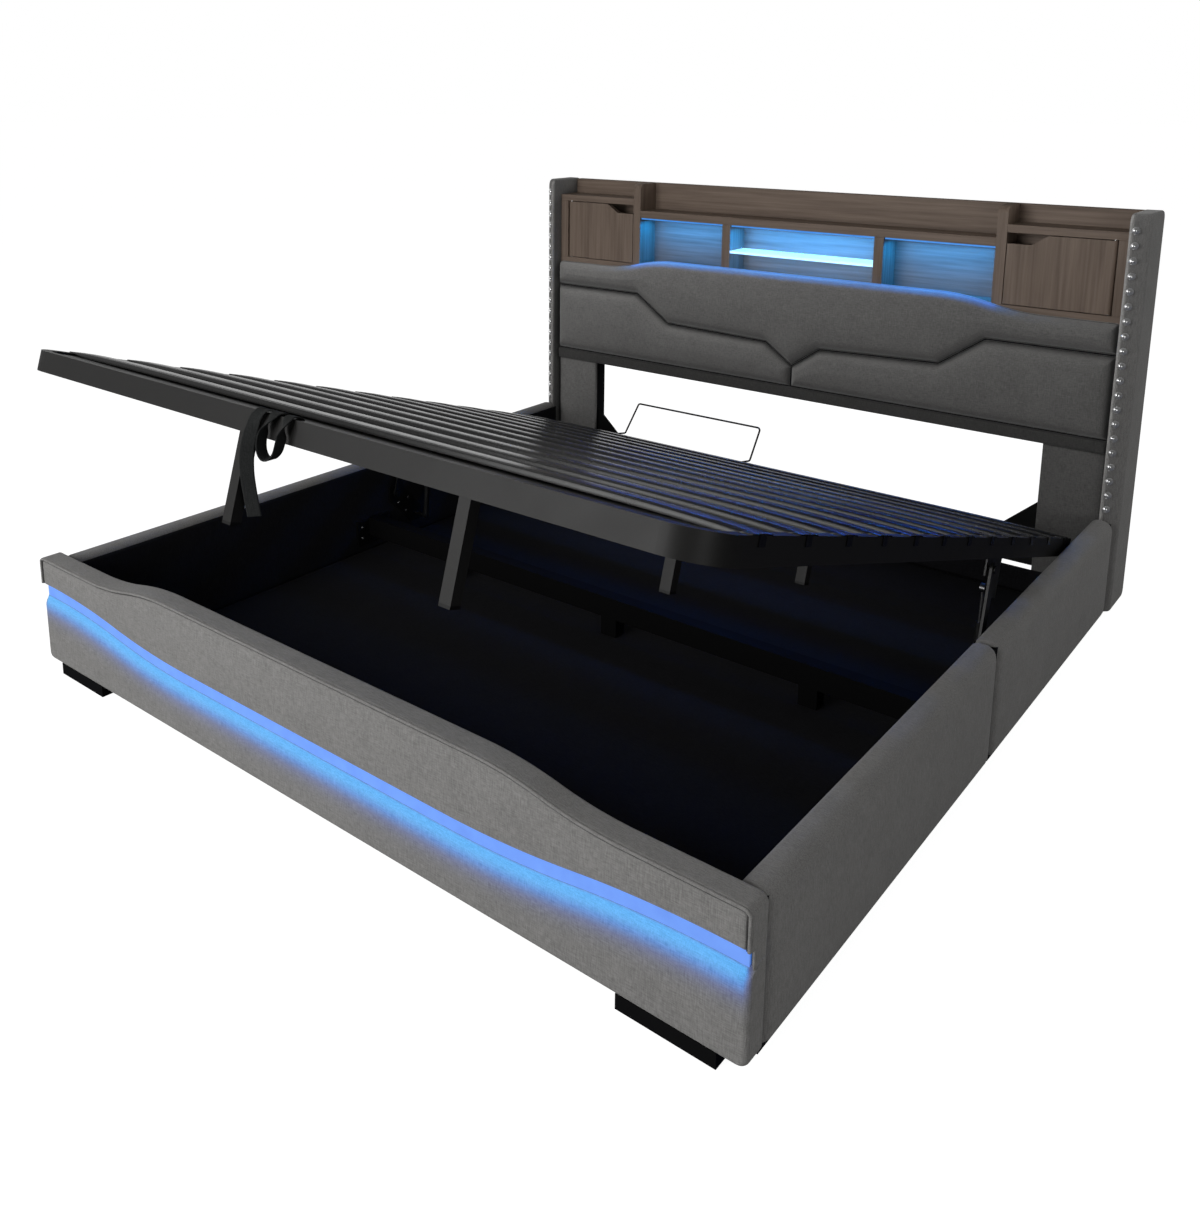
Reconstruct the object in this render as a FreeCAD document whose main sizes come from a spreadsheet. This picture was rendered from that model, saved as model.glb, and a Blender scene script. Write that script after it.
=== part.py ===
import FreeCAD, Part
import math
import os
import re

import Sketcher

# Upholstered king size storage bed with a lifting slat frame and a lit shelf headboard.
# Frame: X to the right, Y from the foot to the head, Z up, in millimetres.
# The origin lies on the floor, on the centre line, at the seam in the middle of the side rails.
# The slat frame stands open, as far as the struts lift it.

doc = FreeCAD.newDocument("StorageBed")
sheet = doc.addObject("Spreadsheet::Sheet", "Sizes")

# Driving dimensions
DRIVING = {
    # Plan of the bed
    "mattress_width": 1930,
    "mattress_length": 2032,
    "side_play": 10,
    "end_play": 5,
    "front_rail_length": 1045,
    "rail_thickness": 65,
    "rail_top": 303,
    "rail_base": 20,
    "cover_inner_foam": 10,
    "cover_outer_foam": 15,
    "cover_top_foam": 10,
    "cover_end_foam": 3,
    "cover_round": 8,
    "seam_gap": 1,
    "soft_gap": 0.3,
    # Footboard
    "footboard_thickness": 55,
    "footboard_inset": 5,
    "footboard_base": 30,
    "footboard_rise": 10,
    "pad_front_foam": 20,
    "pad_back_foam": 4,
    "pad_edge_foam": 8,
    "pad_round": 7,
    "wave_rise": 36,
    "wave_flat": 470,
    "wave_end": 800,
    "light_gap": 37,
    "light_drop": 74,
    "light_dip": 44,
    "light_wave_flat": 400,
    "light_wave_end": 1000,
    "light_strip_depth": 6,
    "light_strip_inset": 4,
    "foot_width": 192,
    "foot_depth": 40,
    "foot_inset": 55,
    "foot_setback": 9,
    # Joining hardware
    "plate_thickness": 4,
    "joining_plate_width": 140,
    "joining_plate_base": 35,
    "joining_plate_rise": 80,
    "corner_plate_width": 70,
    "bolt_radius": 4,
    "bolt_hole_radius": 4.2,
    "bolt_length": 36,
    "bolt_head_radius": 7,
    "bolt_head_height": 4.5,
    "bolt_inset": 22,
    "beam_width": 40,
    "beam_base": 60,
    "beam_rise": 60,
    "middle_foot_width": 50,
    "middle_foot_spacing": 600,
    # Storage box
    "floor_panel_thickness": 6,
    "floor_panel_play": 3,
    "liner_thickness": 1.5,
    "liner_top": 288,
    "liner_head_top": 85,
    # Headboard wings
    "panel_setback": 22,
    "wing_thickness": 50,
    "wing_depth": 180,
    "wing_top": 1165,
    "wing_board_thickness": 30,
    "nose_setback": 37,
    "wing_side_round": 24,
    "wing_round": 6,
    "wing_back_foam": 3,
    "stud_radius": 6,
    "stud_pitch": 41.6,
    "stud_first": 1120,
    "stud_inset": 19,
    # Headboard boards
    "headboard_base": 481,
    "back_panel_thickness": 30,
    "back_panel_drop": 3,
    "shelf_setback": 30,
    "shelf_floor": 873,
    "shelf_board_thickness": 20,
    "cabinet_side_thickness": 33,
    "upright_thickness": 30,
    "upright_inner": 628,
    "upright_drop": 2,
    "upright_round": 22,
    "cabinet_top_thickness": 23,
    "door_rise": 213,
    "niche_height": 169,
    "middle_shelf_thickness": 26,
    "divider_inner": 257,
    "divider_thickness": 31,
    "glass_rise": 73,
    "glass_thickness": 8,
    "glass_play": 1.5,
    "glass_pin_radius": 3,
    "glass_pin_reach": 9,
    "glass_pin_inset": 20,
    "niche_light_width": 12,
    "niche_light_depth": 6,
    "niche_light_setback": 10,
    "supply_width": 180,
    "supply_depth": 30,
    "supply_rise": 50,
    "supply_base": 600,
    # Headboard upholstery
    "panel_side_gap": 6,
    "panel_foam": 18,
    "panel_board_thickness": 12,
    "panel_board_inset": 4,
    "panel_top": 856,
    "panel_wave_rise": 40,
    "panel_wave_flat": 470,
    "panel_wave_end": 785,
    "panel_round": 9,
    "channel_width": 3,
    "channel_outer_x": 625,
    "channel_inner_x": 490,
    "channel_fork_x": 98,
    "channel_side_z": 766,
    "channel_inner_z": 672,
    "channel_fork_z": 659,
    "channel_middle_z": 590,
    "border_top": 520,
    "border_setback": 4,
    "leg_inner": 812,
    "leg_pad_foam": 13,
    "leg_pad_base": 20,
    "leg_depth": 48,
    "leg_round": 5,
    "glide_radius": 20,
    "glide_height": 8,
    "head_bar_base": 90,
    "head_bar_rise": 50,
    "head_bar_depth": 30,
    "head_bar_setback": 9,
    "gusset_rise": 155,
    "gusset_run": 172,
    "gusset_thickness": 6,
    # Doors
    "door_thickness": 18,
    "door_gap": 2.5,
    "door_pin_radius": 3,
    "door_pin_hole_radius": 3.1,
    "door_pin_reach": 12,
    "scoop_depth": 30,
    "scoop_low_width": 67,
    "scoop_slope_width": 46,
    # Slat frame, along and across its own top plane
    "frame_side_play": 14,
    "frame_front_play": 23,
    "frame_rear_play": 11,
    "frame_closed_height": 250,
    "bar_height": 49,
    "bar_width": 25,
    "bar_wall": 2,
    "frame_corner_radius": 90,
    "cross_tube_width": 27,
    "cross_tube_height": 40,
    "slat_first": 146,
    "slat_pitch": 164,
    "slat_width": 58,
    "slat_thickness": 2,
    "slat_crown": 11,
    "slat_tab_width": 22,
    "slat_tab_drop": 17,
    "slat_tab_thickness": 1.5,
    "slat_end_play": 1,
    "rivet_radius": 4,
    "rivet_height": 2,
    "leg_tube_width": 27,
    "leg_cap_height": 6,
    "leg_floor_play": 0.5,
    "leg_front_s": 36,
    "leg_middle_s": 745,
    "leg_rear_s": 1425,
    "leg_left_x": -132,
    "leg_right_x": 471,
    "wire_radius": 3,
    "wire_bend": 9,
    "wire_left": -582,
    "wire_foot": 54,
    "wire_lean": 34,
    "wire_span": 480,
    "wire_rise": 128,
    "wire_step": 26,
    "wire_inset": 12,
    "strap_width": 24,
    "strap_thickness": 2,
    "strap_x": -35,
    "strap_drop": 240,
    "strap_loop_x": 22,
    "strap_loop_drop": 84,
    # Lift linkage
    "lift_pivot_y": 98,
    "lift_pivot_z": 175.5,
    "lift_swing_angle": 75,
    "lift_reach": 240,
    "frame_tilt": 17.27,
    "frame_pin_drop": 75,
    "strut_foot_run": 96.4,
    "strut_foot_drop": 98.8,
    "strut_head_run": 74.2,
    "strut_head_drop": 55,
    "arm_width": 30,
    "arm_thickness": 6,
    "arm_round": 13.5,
    "arm_side_gap": 11,
    "pivot_radius": 8,
    "pivot_play": 0.1,
    "pivot_head": 3,
    "pivot_head_height": 3,
    "frame_pin_radius": 6,
    "open_pin_play": 1,
    "bracket_thickness": 4,
    "bracket_edge": 18,
    "base_plate_edge": 22,
    "strut_stud_radius": 5,
    "strut_eye_width": 12,
    "strut_eye_radius": 11,
    "strut_plane_gap": 15,
    "strut_tube_radius": 9,
    "strut_tube_wall": 2,
    "strut_tube_length": 172,
    "strut_bore_start": 24,
    "strut_rod_radius": 4,
    "strut_rod_tail": 95,
    "strut_head_play": 2,
}

# Sizes worked out from them, in the sheet itself
DERIVED = {
    "inner_half": "mattress_width / 2 + side_play",
    "outer_half": "inner_half + rail_thickness",
    "rail_front": "-front_rail_length",
    "panel_front": "rail_front + mattress_length + end_play",
    "wing_front": "panel_front - panel_setback",
    "wing_back": "wing_front + wing_depth",
    "wing_inner": "outer_half - wing_thickness",
    "board_inner": "inner_half + cover_inner_foam",
    "board_outer": "outer_half - cover_outer_foam",
    "board_thickness": "board_outer - board_inner",
    "board_top": "rail_top - cover_top_foam",
    "footboard_front": "rail_front - footboard_thickness",
    "footboard_half": "outer_half - footboard_inset",
    "footboard_top": "rail_top + footboard_rise",
    "core_front": "footboard_front + pad_front_foam",
    "core_back": "rail_front - pad_back_foam",
    "core_thickness": "core_back - core_front",
    "core_half": "footboard_half - pad_edge_foam",
    "light_top": "footboard_top - light_drop",
    "light_bottom": "light_top - light_gap",
    "foot_outer": "footboard_half - foot_inset",
    "liner_half": "inner_half - soft_gap",
    "plate_outer": "liner_half - liner_thickness",
    "plate_inner": "plate_outer - plate_thickness",
    "liner_front": "rail_front + soft_gap",
    "leg_pad_front": "panel_front + panel_foam + panel_board_thickness - leg_pad_foam",
    "liner_back": "leg_pad_front - soft_gap",
    "liner_base": "floor_panel_thickness + soft_gap",
    "liner_floor": "liner_base + liner_thickness",
    "beam_half": "beam_width / 2",
    "shelf_front": "panel_front + shelf_setback",
    "back_panel_front": "wing_back - back_panel_thickness",
    "shelf_depth": "back_panel_front - shelf_front",
    "back_panel_top": "wing_top - back_panel_drop",
    "shelf_base": "shelf_floor - shelf_board_thickness",
    "cabinet_inner": "upright_inner + upright_thickness",
    "cabinet_side": "wing_inner - cabinet_side_thickness",
    "cabinet_top_base": "shelf_floor + door_rise",
    "middle_shelf_base": "shelf_floor + niche_height",
    "glass_base": "shelf_floor + glass_rise",
    "upright_top": "wing_top - upright_drop",
    "divider_outer": "divider_inner + divider_thickness",
    "panel_half": "wing_inner - panel_side_gap",
    "panel_back": "panel_front + panel_foam",
    "panel_wave_top": "panel_top + panel_wave_rise",
    "leg_front": "leg_pad_front + leg_pad_foam",
    "leg_back": "leg_front + leg_depth",
    "door_outer": "cabinet_side - door_gap",
    "door_inner": "cabinet_inner + door_gap",
    "door_width": "door_outer - door_inner",
    "door_edge": "door_thickness / 2",
    "door_pin_x": "door_outer - door_edge",
    "door_pin_y": "shelf_front + door_edge",
    "door_base": "shelf_floor + door_gap",
    "door_height": "door_rise - 2 * door_gap",
    "frame_half": "inner_half - frame_side_play",
    "bar_inner": "frame_half - bar_width",
    "frame_closed_front": "rail_front + frame_front_play",
    "frame_length": "leg_pad_front - frame_rear_play - frame_closed_front",
    "closed_pin_y": "lift_pivot_y + lift_reach",
    "frame_pin_s": "closed_pin_y - frame_closed_front",
    "frame_pin_n": "-frame_pin_drop",
    "closed_pin_z": "frame_closed_height - frame_pin_drop",
    "closed_run": "closed_pin_y - lift_pivot_y",
    "closed_lift": "closed_pin_z - lift_pivot_z",
    "arm_length": "sqrt(closed_run * closed_run + closed_lift * closed_lift)",
    "arm_angle": "lift_swing_angle + atan(closed_lift / closed_run) / 1 deg",
    "frame_pin_y": "lift_pivot_y + arm_length * cos(arm_angle * 1 deg)",
    "frame_pin_z": "lift_pivot_z + arm_length * sin(arm_angle * 1 deg)",
    "tilt_cos": "cos(frame_tilt * 1 deg)",
    "tilt_sin": "sin(frame_tilt * 1 deg)",
    "frame_y": "frame_pin_y - frame_pin_s * tilt_cos + frame_pin_drop * tilt_sin",
    "frame_z": "frame_pin_z + frame_pin_s * tilt_sin + frame_pin_drop * tilt_cos",
    "strut_foot_y": "lift_pivot_y + strut_foot_run",
    "strut_foot_z": "lift_pivot_z - strut_foot_drop",
    "strut_head_s": "frame_pin_s + strut_head_run",
    "strut_head_fall": "frame_pin_drop + strut_head_drop",
    "strut_head_y": "frame_y + strut_head_s * tilt_cos - strut_head_fall * tilt_sin",
    "strut_head_z": "frame_z - strut_head_s * tilt_sin - strut_head_fall * tilt_cos",
    "strut_run": "strut_head_y - strut_foot_y",
    "strut_lift": "strut_head_z - strut_foot_z",
    "strut_length": "sqrt(strut_run * strut_run + strut_lift * strut_lift)",
    "strut_angle": "90 - atan(strut_run / strut_lift) / 1 deg",
    "arm_outer": "plate_inner - arm_side_gap",
    "arm_inner": "arm_outer - arm_thickness",
    "bracket_outer": "arm_inner - 2 * pivot_head_height",
    "pivot_step": "pivot_head_height / 2",
    "bracket_inner": "bracket_outer - bracket_thickness",
    "strut_outer": "bracket_inner - strut_plane_gap",
    "strut_inner": "strut_outer - strut_eye_width",
    "strut_plane": "strut_outer - strut_eye_width / 2",
    "leg_tube_end": "frame_closed_height - liner_floor - leg_cap_height - leg_floor_play",
}


def fill_sheet():
    """Write the driving sizes as plain numbers and the derived ones as formulas."""
    row = 0
    for name, value in DRIVING.items():
        row += 1
        sheet.set("A%d" % row, name)
        sheet.set("B%d" % row, str(value))
        sheet.setAlias("B%d" % row, name)
    for name, formula in DERIVED.items():
        row += 1
        sheet.set("A%d" % row, name)
        sheet.set("B%d" % row, "=" + formula)
        sheet.setAlias("B%d" % row, name)
    doc.recompute()


fill_sheet()


def size(name):
    """A size read back from the sheet, as a number."""
    value = sheet.get(name)
    return float(getattr(value, "Value", value))


def bind(thing, path, formula):
    """Tie one property to a formula of sheet sizes."""
    named = re.sub(r"\b([a-z]+_[a-z0-9_]+)\b", r"Sizes.\1", formula)
    thing.setExpression(path, named)


def place(thing, x="0", y="0", z="0", turn="0"):
    """Place an object, turned about X by an angle in degrees."""
    spot = "placement(vector(%s; %s; %s); rotation(vector(1; 0; 0); %s))" % (x, y, z, turn)
    bind(thing, "Placement", spot)


def vec(x, y, z):
    return FreeCAD.Vector(x, y, z)


NODES = []


def node(thing, label):
    """Name an object as one separate piece of the bed."""
    thing.Label = label
    NODES.append(thing)
    return thing


# Boards, pins and groups


def box(name, length, width, height, x, y, z):
    solid = doc.addObject("Part::Box", name)
    bind(solid, "Length", length)
    bind(solid, "Width", width)
    bind(solid, "Height", height)
    place(solid, x, y, z)
    return solid


def square_tube(name, length, width, height, x, y, z, wall, along):
    """A hollow square tube that runs along X or along Z."""
    outside = box(name + "_outside", length, width, height, x, y, z)
    thinner = "%s - 2 * " + wall
    moved = "%s + " + wall
    if along == "x":
        inside = box(name + "_inside", length, thinner % width, thinner % height, x, moved % y, moved % z)
    else:
        inside = box(name + "_inside", thinner % length, thinner % width, height, moved % x, moved % y, z)
    return cut(name, outside, inside)


def mirrored_boxes(name, inner, outer, width, height, y, z):
    """A box on the right side and its twin on the left, given by their distances from the centre."""
    across = "%s - (%s)" % (outer, inner)
    right = box(name + "_right", across, width, height, inner, y, z)
    left = box(name + "_left", across, width, height, "-(%s)" % outer, y, z)
    return [right, left]


def group(label, parts):
    """Several separate solids that share one node."""
    whole = doc.addObject("Part::Compound", label + "_group")
    whole.Links = parts
    return node(whole, label)


def upright_cylinder(name, radius, height, x, y, z):
    solid = doc.addObject("Part::Cylinder", name)
    bind(solid, "Radius", radius)
    bind(solid, "Height", height)
    place(solid, x, y, z)
    return solid


def cross_cylinder(name, radius, inner, outer, y, z, side):
    """A round bar along X between two distances from the centre, on one side."""
    solid = doc.addObject("Part::Cylinder", name)
    bind(solid, "Radius", radius)
    bind(solid, "Height", "%s - (%s)" % (outer, inner))
    start = inner if side > 0 else "-(%s)" % outer
    spot = "placement(vector(%s; %s; %s); rotation(vector(0; 1; 0); 90))" % (start, y, z)
    bind(solid, "Placement", spot)
    return solid


def fuse(name, parts):
    joined = doc.addObject("Part::MultiFuse", name)
    joined.Shapes = parts
    return joined


def cut(name, base, tool):
    left_over = doc.addObject("Part::Cut", name)
    left_over.Base = base
    left_over.Tool = tool
    return left_over


# Plates drawn as sketches


def origin_plane(body, role):
    for feature in body.Origin.OriginFeatures:
        if feature.Role == role:
            return feature
    raise ValueError("no plane " + role)


def fix_point(sketch, item, end, across, up):
    """Hold a sketch point at two distances from the sketch's own origin."""
    for kind, formula in (("DistanceX", across), ("DistanceY", up)):
        number = sketch.addConstraint(Sketcher.Constraint(kind, -1, 1, item, end, 1.0))
        bind(sketch, "Constraints[%d]" % number, formula)


def draw_corners(sketch, corners):
    """A closed outline of straight lines through the corners."""
    count = len(corners)
    turn = 2 * math.pi / count
    spots = [vec(math.cos(turn * index), math.sin(turn * index), 0) for index in range(count)]
    for index in range(count):
        sketch.addGeometry(Part.LineSegment(spots[index], spots[(index + 1) % count]))
    for index in range(count):
        following = (index + 1) % count
        sketch.addConstraint(Sketcher.Constraint("Coincident", index, 2, following, 1))
    for index, (across, up) in enumerate(corners):
        fix_point(sketch, index, 1, across, up)


def draw_holes(sketch, holes):
    """Round holes, each with its centre and its radius."""
    for across, up, radius in holes:
        circle = Part.Circle(vec(0, 0, 0), vec(0, 0, 1), size(radius))
        item = sketch.addGeometry(circle)
        fix_point(sketch, item, 3, across, up)
        number = sketch.addConstraint(Sketcher.Constraint("Radius", item, size(radius)))
        bind(sketch, "Constraints[%d]" % number, radius)


def plate(name, role, corners, holes, thickness, spot, rounding=None):
    """A flat piece: a sketch on one origin plane, padded, with its upright edges rounded."""
    body = doc.addObject("PartDesign::Body", name)
    sketch = body.newObject("Sketcher::SketchObject", name + "_outline")
    sketch.AttachmentSupport = (origin_plane(body, role), [""])
    sketch.MapMode = "FlatFace"
    draw_corners(sketch, corners)
    draw_holes(sketch, holes)
    pad = body.newObject("PartDesign::Pad", name + "_pad")
    pad.Profile = sketch
    bind(pad, "Length", thickness)
    pad.Reversed = role == "XZ_Plane"
    if rounding:
        doc.recompute()
        radius, edges = rounding
        fillet = body.newObject("PartDesign::Fillet", name + "_rounding")
        fillet.Base = (pad, edges(pad.Shape))
        bind(fillet, "Radius", radius)
    place(body, *spot)
    return body


def thickness_edges(axis):
    """Names of the straight edges that run through a plate's thickness."""
    def pick(shape):
        names = []
        for number, edge in enumerate(shape.Edges, 1):
            if isinstance(edge.Curve, Part.Line) and abs(edge.tangentAt(0).dot(axis)) > 0.99:
                names.append("Edge%d" % number)
        return names
    return pick


# Soft pieces, made with shape functions

# Points closer than this are at the same place
NEAR = 0.01


def soft(label, shape):
    solid = doc.addObject("Part::Feature", label + "_shape")
    solid.Shape = shape
    return node(solid, label)


def solid_box(low, high):
    """A box between two opposite corners."""
    return Part.makeBox(high[0] - low[0], high[1] - low[1], high[2] - low[2], vec(*low))


def side_span(side, inner, outer):
    """The low and high X of a piece on one side, from its distances to the centre."""
    return (inner, outer) if side > 0 else (-outer, -inner)


def edges_at(shape, test):
    """The edges whose two ends both pass a test."""
    return [edge for edge in shape.Edges if all(test(corner.Point) for corner in edge.Vertexes)]


def face_through(start, steps):
    """A closed face: each step is a point to go to, or a pair of a point to pass and one to reach."""
    edges = []
    here = start
    for step in steps:
        if isinstance(step, tuple):
            passed, reached = step
            edges.append(Part.Arc(here, passed, reached).toShape())
        else:
            reached = step
            edges.append(Part.LineSegment(here, reached).toShape())
        here = reached
    edges.append(Part.LineSegment(here, start).toShape())
    return Part.Face(Part.Wire(edges))


def bend_steps(y, from_x, from_z, to_x, to_z):
    """Two equal tangent arcs that start level at one point and end level at another."""
    run = to_x - from_x
    rise = to_z - from_z
    angle = 2 * math.atan2(abs(rise), abs(run))
    radius = (run ** 2 + rise ** 2) / (4 * abs(rise))
    along = math.copysign(radius * math.sin(angle / 2), run)
    up = math.copysign(radius * (1 - math.cos(angle / 2)), rise)
    middle = vec(from_x + run / 2, y, from_z + rise / 2)
    first = (vec(from_x + along, y, from_z + up), middle)
    second = (vec(to_x - along, y, to_z - up), vec(to_x, y, to_z))
    return [first, second]


def wave_steps(y, end, wave_end, wave_flat, level, rise):
    """A level line from the right end to the left one, raised over its middle."""
    top = level + rise
    steps = [vec(wave_end, y, level)]
    steps += bend_steps(y, wave_end, level, wave_flat, top)
    steps.append(vec(-wave_flat, y, top))
    steps += bend_steps(y, -wave_flat, top, -wave_end, level)
    steps.append(vec(-end, y, level))
    return steps


def turned_round(start, steps):
    """The same run of steps walked from its end back to its start."""
    spots = [start] + [step[1] if isinstance(step, tuple) else step for step in steps]
    back = []
    for index in range(len(steps) - 1, -1, -1):
        step = steps[index]
        back.append((step[0], spots[index]) if isinstance(step, tuple) else spots[index])
    return spots[-1], back


def wave_board(y, depth, end, base, wave_end, wave_flat, level, rise):
    """A board with a straight base and a top edge raised over its middle."""
    steps = wave_steps(y, end, wave_end, wave_flat, level, rise)
    steps.append(vec(-end, y, base))
    steps.append(vec(end, y, base))
    return face_through(vec(end, y, level), steps).extrude(vec(0, depth, 0))


def rounded_front(shape, front, radius):
    """The same solid with the edges of its front face rounded."""
    return shape.makeFillet(radius, edges_at(shape, lambda spot: abs(spot.y - front) < NEAR))


def drill(shape, bolts):
    """Cut the clearance hole of each bolt."""
    play = size("bolt_radius") / 2
    for start, way in bolts:
        depth = size("bolt_length") + 2 * play
        shape = shape.cut(Part.makeCylinder(size("bolt_hole_radius"), depth, start - way * play, way))
    return shape


def bolt(start, way):
    """A bolt with a tapered head that lies against the plate at its start."""
    radius = size("bolt_radius")
    shank = Part.makeCylinder(radius, size("bolt_length"), start, way)
    head = Part.makeCone(size("bolt_head_radius"), radius, size("bolt_head_height"), start, -way)
    return shank.fuse(head).removeSplitter()


# Places of the bolts: a point on the plate's inner face and the way that the bolt points

SIDES = (1, -1)

# Where the lift plate's bolts lie between its two pivots, as shares of the run and of the drop
LIFT_BOLT_SHARES = ((0.18, 0.42), (0.54, 0.80), (0.66, 0.36))


def joining_bolts(side):
    low = size("joining_plate_base") + size("bolt_inset")
    high = size("joining_plate_base") + size("joining_plate_rise") - size("bolt_inset")
    reach = size("joining_plate_width") / 2 - size("bolt_inset")
    x = side * size("plate_inner")
    way = vec(side, 0, 0)
    return [(vec(x, y, z), way) for y in (-reach, reach) for z in (low, high)]


def corner_side_bolts(side, end):
    """Bolts through the side rail at the foot end or the head end."""
    low = size("joining_plate_base") + size("bolt_inset")
    high = size("joining_plate_base") + size("joining_plate_rise") - size("bolt_inset")
    reach = size("corner_plate_width") - size("bolt_inset")
    if end < 0:
        y = size("liner_front") + size("liner_thickness") + reach
    else:
        y = size("wing_front") - size("bolt_inset")
    x = side * size("plate_inner")
    return [(vec(x, y, z), vec(side, 0, 0)) for z in (low, high)]


def corner_end_bolts(side, end):
    """Bolts through the footboard or the headboard's leg."""
    low = size("joining_plate_base") + size("bolt_inset")
    high = size("joining_plate_base") + size("joining_plate_rise") - size("bolt_inset")
    x = side * (size("plate_outer") - size("corner_plate_width") + size("bolt_inset"))
    if end < 0:
        y = size("liner_front") + size("liner_thickness") + size("plate_thickness")
    else:
        y = size("liner_back") - size("liner_thickness") - size("plate_thickness")
    return [(vec(x, y, z), vec(0, end, 0)) for z in (low, high)]


def lift_plate_spots():
    """Bolt places on the lift plate, between its two pivots."""
    top_y = size("lift_pivot_y")
    top_z = size("lift_pivot_z")
    run = size("strut_foot_run")
    drop = size("strut_foot_drop")
    return [(top_y + run * along, top_z - drop * down) for along, down in LIFT_BOLT_SHARES]


def lift_plate_holes():
    """The same places as formulas, each with the radius of its hole."""
    y = "lift_pivot_y + strut_foot_run * %s"
    z = "lift_pivot_z - strut_foot_drop * %s"
    return [(y % along, z % down, "bolt_hole_radius") for along, down in LIFT_BOLT_SHARES]


def lift_bolts(side):
    x = side * size("plate_inner")
    return [(vec(x, y, z), vec(side, 0, 0)) for y, z in lift_plate_spots()]


def rail_bolts(side):
    every = joining_bolts(side) + lift_bolts(side)
    return every + corner_side_bolts(side, -1) + corner_side_bolts(side, 1)


END_BOLTS = [item for side in SIDES for item in corner_end_bolts(side, -1)]
HEAD_BOLTS = [item for side in SIDES for item in corner_end_bolts(side, 1)]
SIDE_NAMES = {1: "right", -1: "left"}


# Footboard


def make_footboard():
    front = size("footboard_front")
    back = size("rail_front")
    half = size("footboard_half")
    base = size("footboard_base")
    top = size("footboard_top")
    edge = size("pad_edge_foam")
    wave = (size("wave_end"), size("wave_flat"))
    light_wave = (size("light_wave_end"), size("light_wave_flat"))
    dip = -size("light_dip")
    core = wave_board(size("core_front"), size("core_thickness"), size("core_half"), base + edge,
                      *wave, top - edge, size("wave_rise"))
    soft("footboard_core", drill(core, END_BOLTS))

    # The upper pad lies between the top wave and the light channel, and wraps the core's top
    steps = wave_steps(front, half, *wave, top, size("wave_rise"))
    start = vec(half, front, size("light_top"))
    reached, back_steps = turned_round(start, wave_steps(front, half, *light_wave, size("light_top"), dip))
    steps.append(reached)
    face = face_through(vec(half, front, top), steps + back_steps)
    upper = rounded_front(face.extrude(vec(0, back - front, 0)), front, size("pad_round"))
    soft("footboard_upper_pad", upper.cut(core))

    # The lower pad lies below the light channel and wraps the core's base
    steps = wave_steps(front, half, *light_wave, size("light_bottom"), dip)
    steps.append(vec(-half, front, base))
    steps.append(vec(half, front, base))
    face = face_through(vec(half, front, size("light_bottom")), steps)
    lower = rounded_front(face.extrude(vec(0, back - front, 0)), front, size("pad_round"))
    soft("footboard_lower_pad", drill(lower.cut(core), END_BOLTS))

    # The light strip follows the channel
    inset = size("light_strip_inset")
    low = size("light_bottom") + inset
    high = size("light_top") - inset
    strip_front = size("core_front") - size("light_strip_depth")
    end = size("core_half")
    steps = wave_steps(strip_front, end, min(light_wave[0], end - inset), light_wave[1], high, dip)
    start = vec(end, strip_front, low)
    low_steps = wave_steps(strip_front, end, min(light_wave[0], end - inset), light_wave[1], low, dip)
    reached, back_steps = turned_round(start, low_steps)
    steps.append(reached)
    face = face_through(vec(end, strip_front, high), steps + back_steps)
    soft("footboard_light_strip", face.extrude(vec(0, size("light_strip_depth"), 0)))

    feet = mirrored_boxes("footboard_foot", "foot_outer - foot_width", "foot_outer", "foot_depth",
                          "footboard_base", "footboard_front + foot_setback", "0")
    group("footboard_feet", feet)


# Side rails


def rail_board(side, start, end, bolts):
    """A board inside one rail segment, seen from the side, with its bolt holes."""
    corners = [(start, "rail_base"), (end, "rail_base"), (end, "board_top"), (start, "board_top")]
    name = "rail_board_%s_%s" % (SIDE_NAMES[side], "front" if end.startswith("-") else "rear")
    board = plate(name, "YZ_Plane", corners, bolts, "board_thickness",
                  ("board_inner" if side > 0 else "-board_outer",))
    return board


def rail_cover(side, start, end):
    """The padded cover of one rail segment, open below."""
    low_x, high_x = side_span(side, size("inner_half"), size("outer_half"))
    block = solid_box((low_x, start, size("rail_base")), (high_x, end, size("rail_top")))
    block = block.makeFillet(size("cover_round"), block.Edges)
    low_x, high_x = side_span(side, size("board_inner"), size("board_outer"))
    foam = size("cover_end_foam")
    low = (low_x, start + foam, size("rail_base") - foam)
    high = (high_x, end - foam, size("board_top"))
    return drill(block.cut(solid_box(low, high)), rail_bolts(side))


def make_rails():
    inset = "bolt_inset"
    low = "joining_plate_base + " + inset
    high = "joining_plate_base + joining_plate_rise - " + inset
    reach = "joining_plate_width / 2 - " + inset
    hole = "bolt_hole_radius"
    front_holes = [("-(%s)" % reach, z, hole) for z in (low, high)]
    foot_y = "liner_front + liner_thickness + corner_plate_width - " + inset
    front_holes += [(foot_y, z, hole) for z in (low, high)]
    rear_holes = [(reach, z, hole) for z in (low, high)]
    rear_holes += [("wing_front - " + inset, z, hole) for z in (low, high)]
    rear_holes += lift_plate_holes()
    boards = []
    for side in SIDES:
        boards.append(rail_board(side, "rail_front + cover_end_foam", "-cover_end_foam - seam_gap / 2",
                                 front_holes))
        boards.append(rail_board(side, "cover_end_foam + seam_gap / 2", "wing_front - cover_end_foam",
                                 rear_holes))
    group("rail_boards", boards)
    half_gap = size("seam_gap") / 2
    for side in SIDES:
        name = SIDE_NAMES[side]
        soft(name + "_front_rail_cover", rail_cover(side, size("rail_front"), -half_gap))
        soft(name + "_rear_rail_cover", rail_cover(side, half_gap, size("wing_front")))


# Joining hardware


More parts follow.
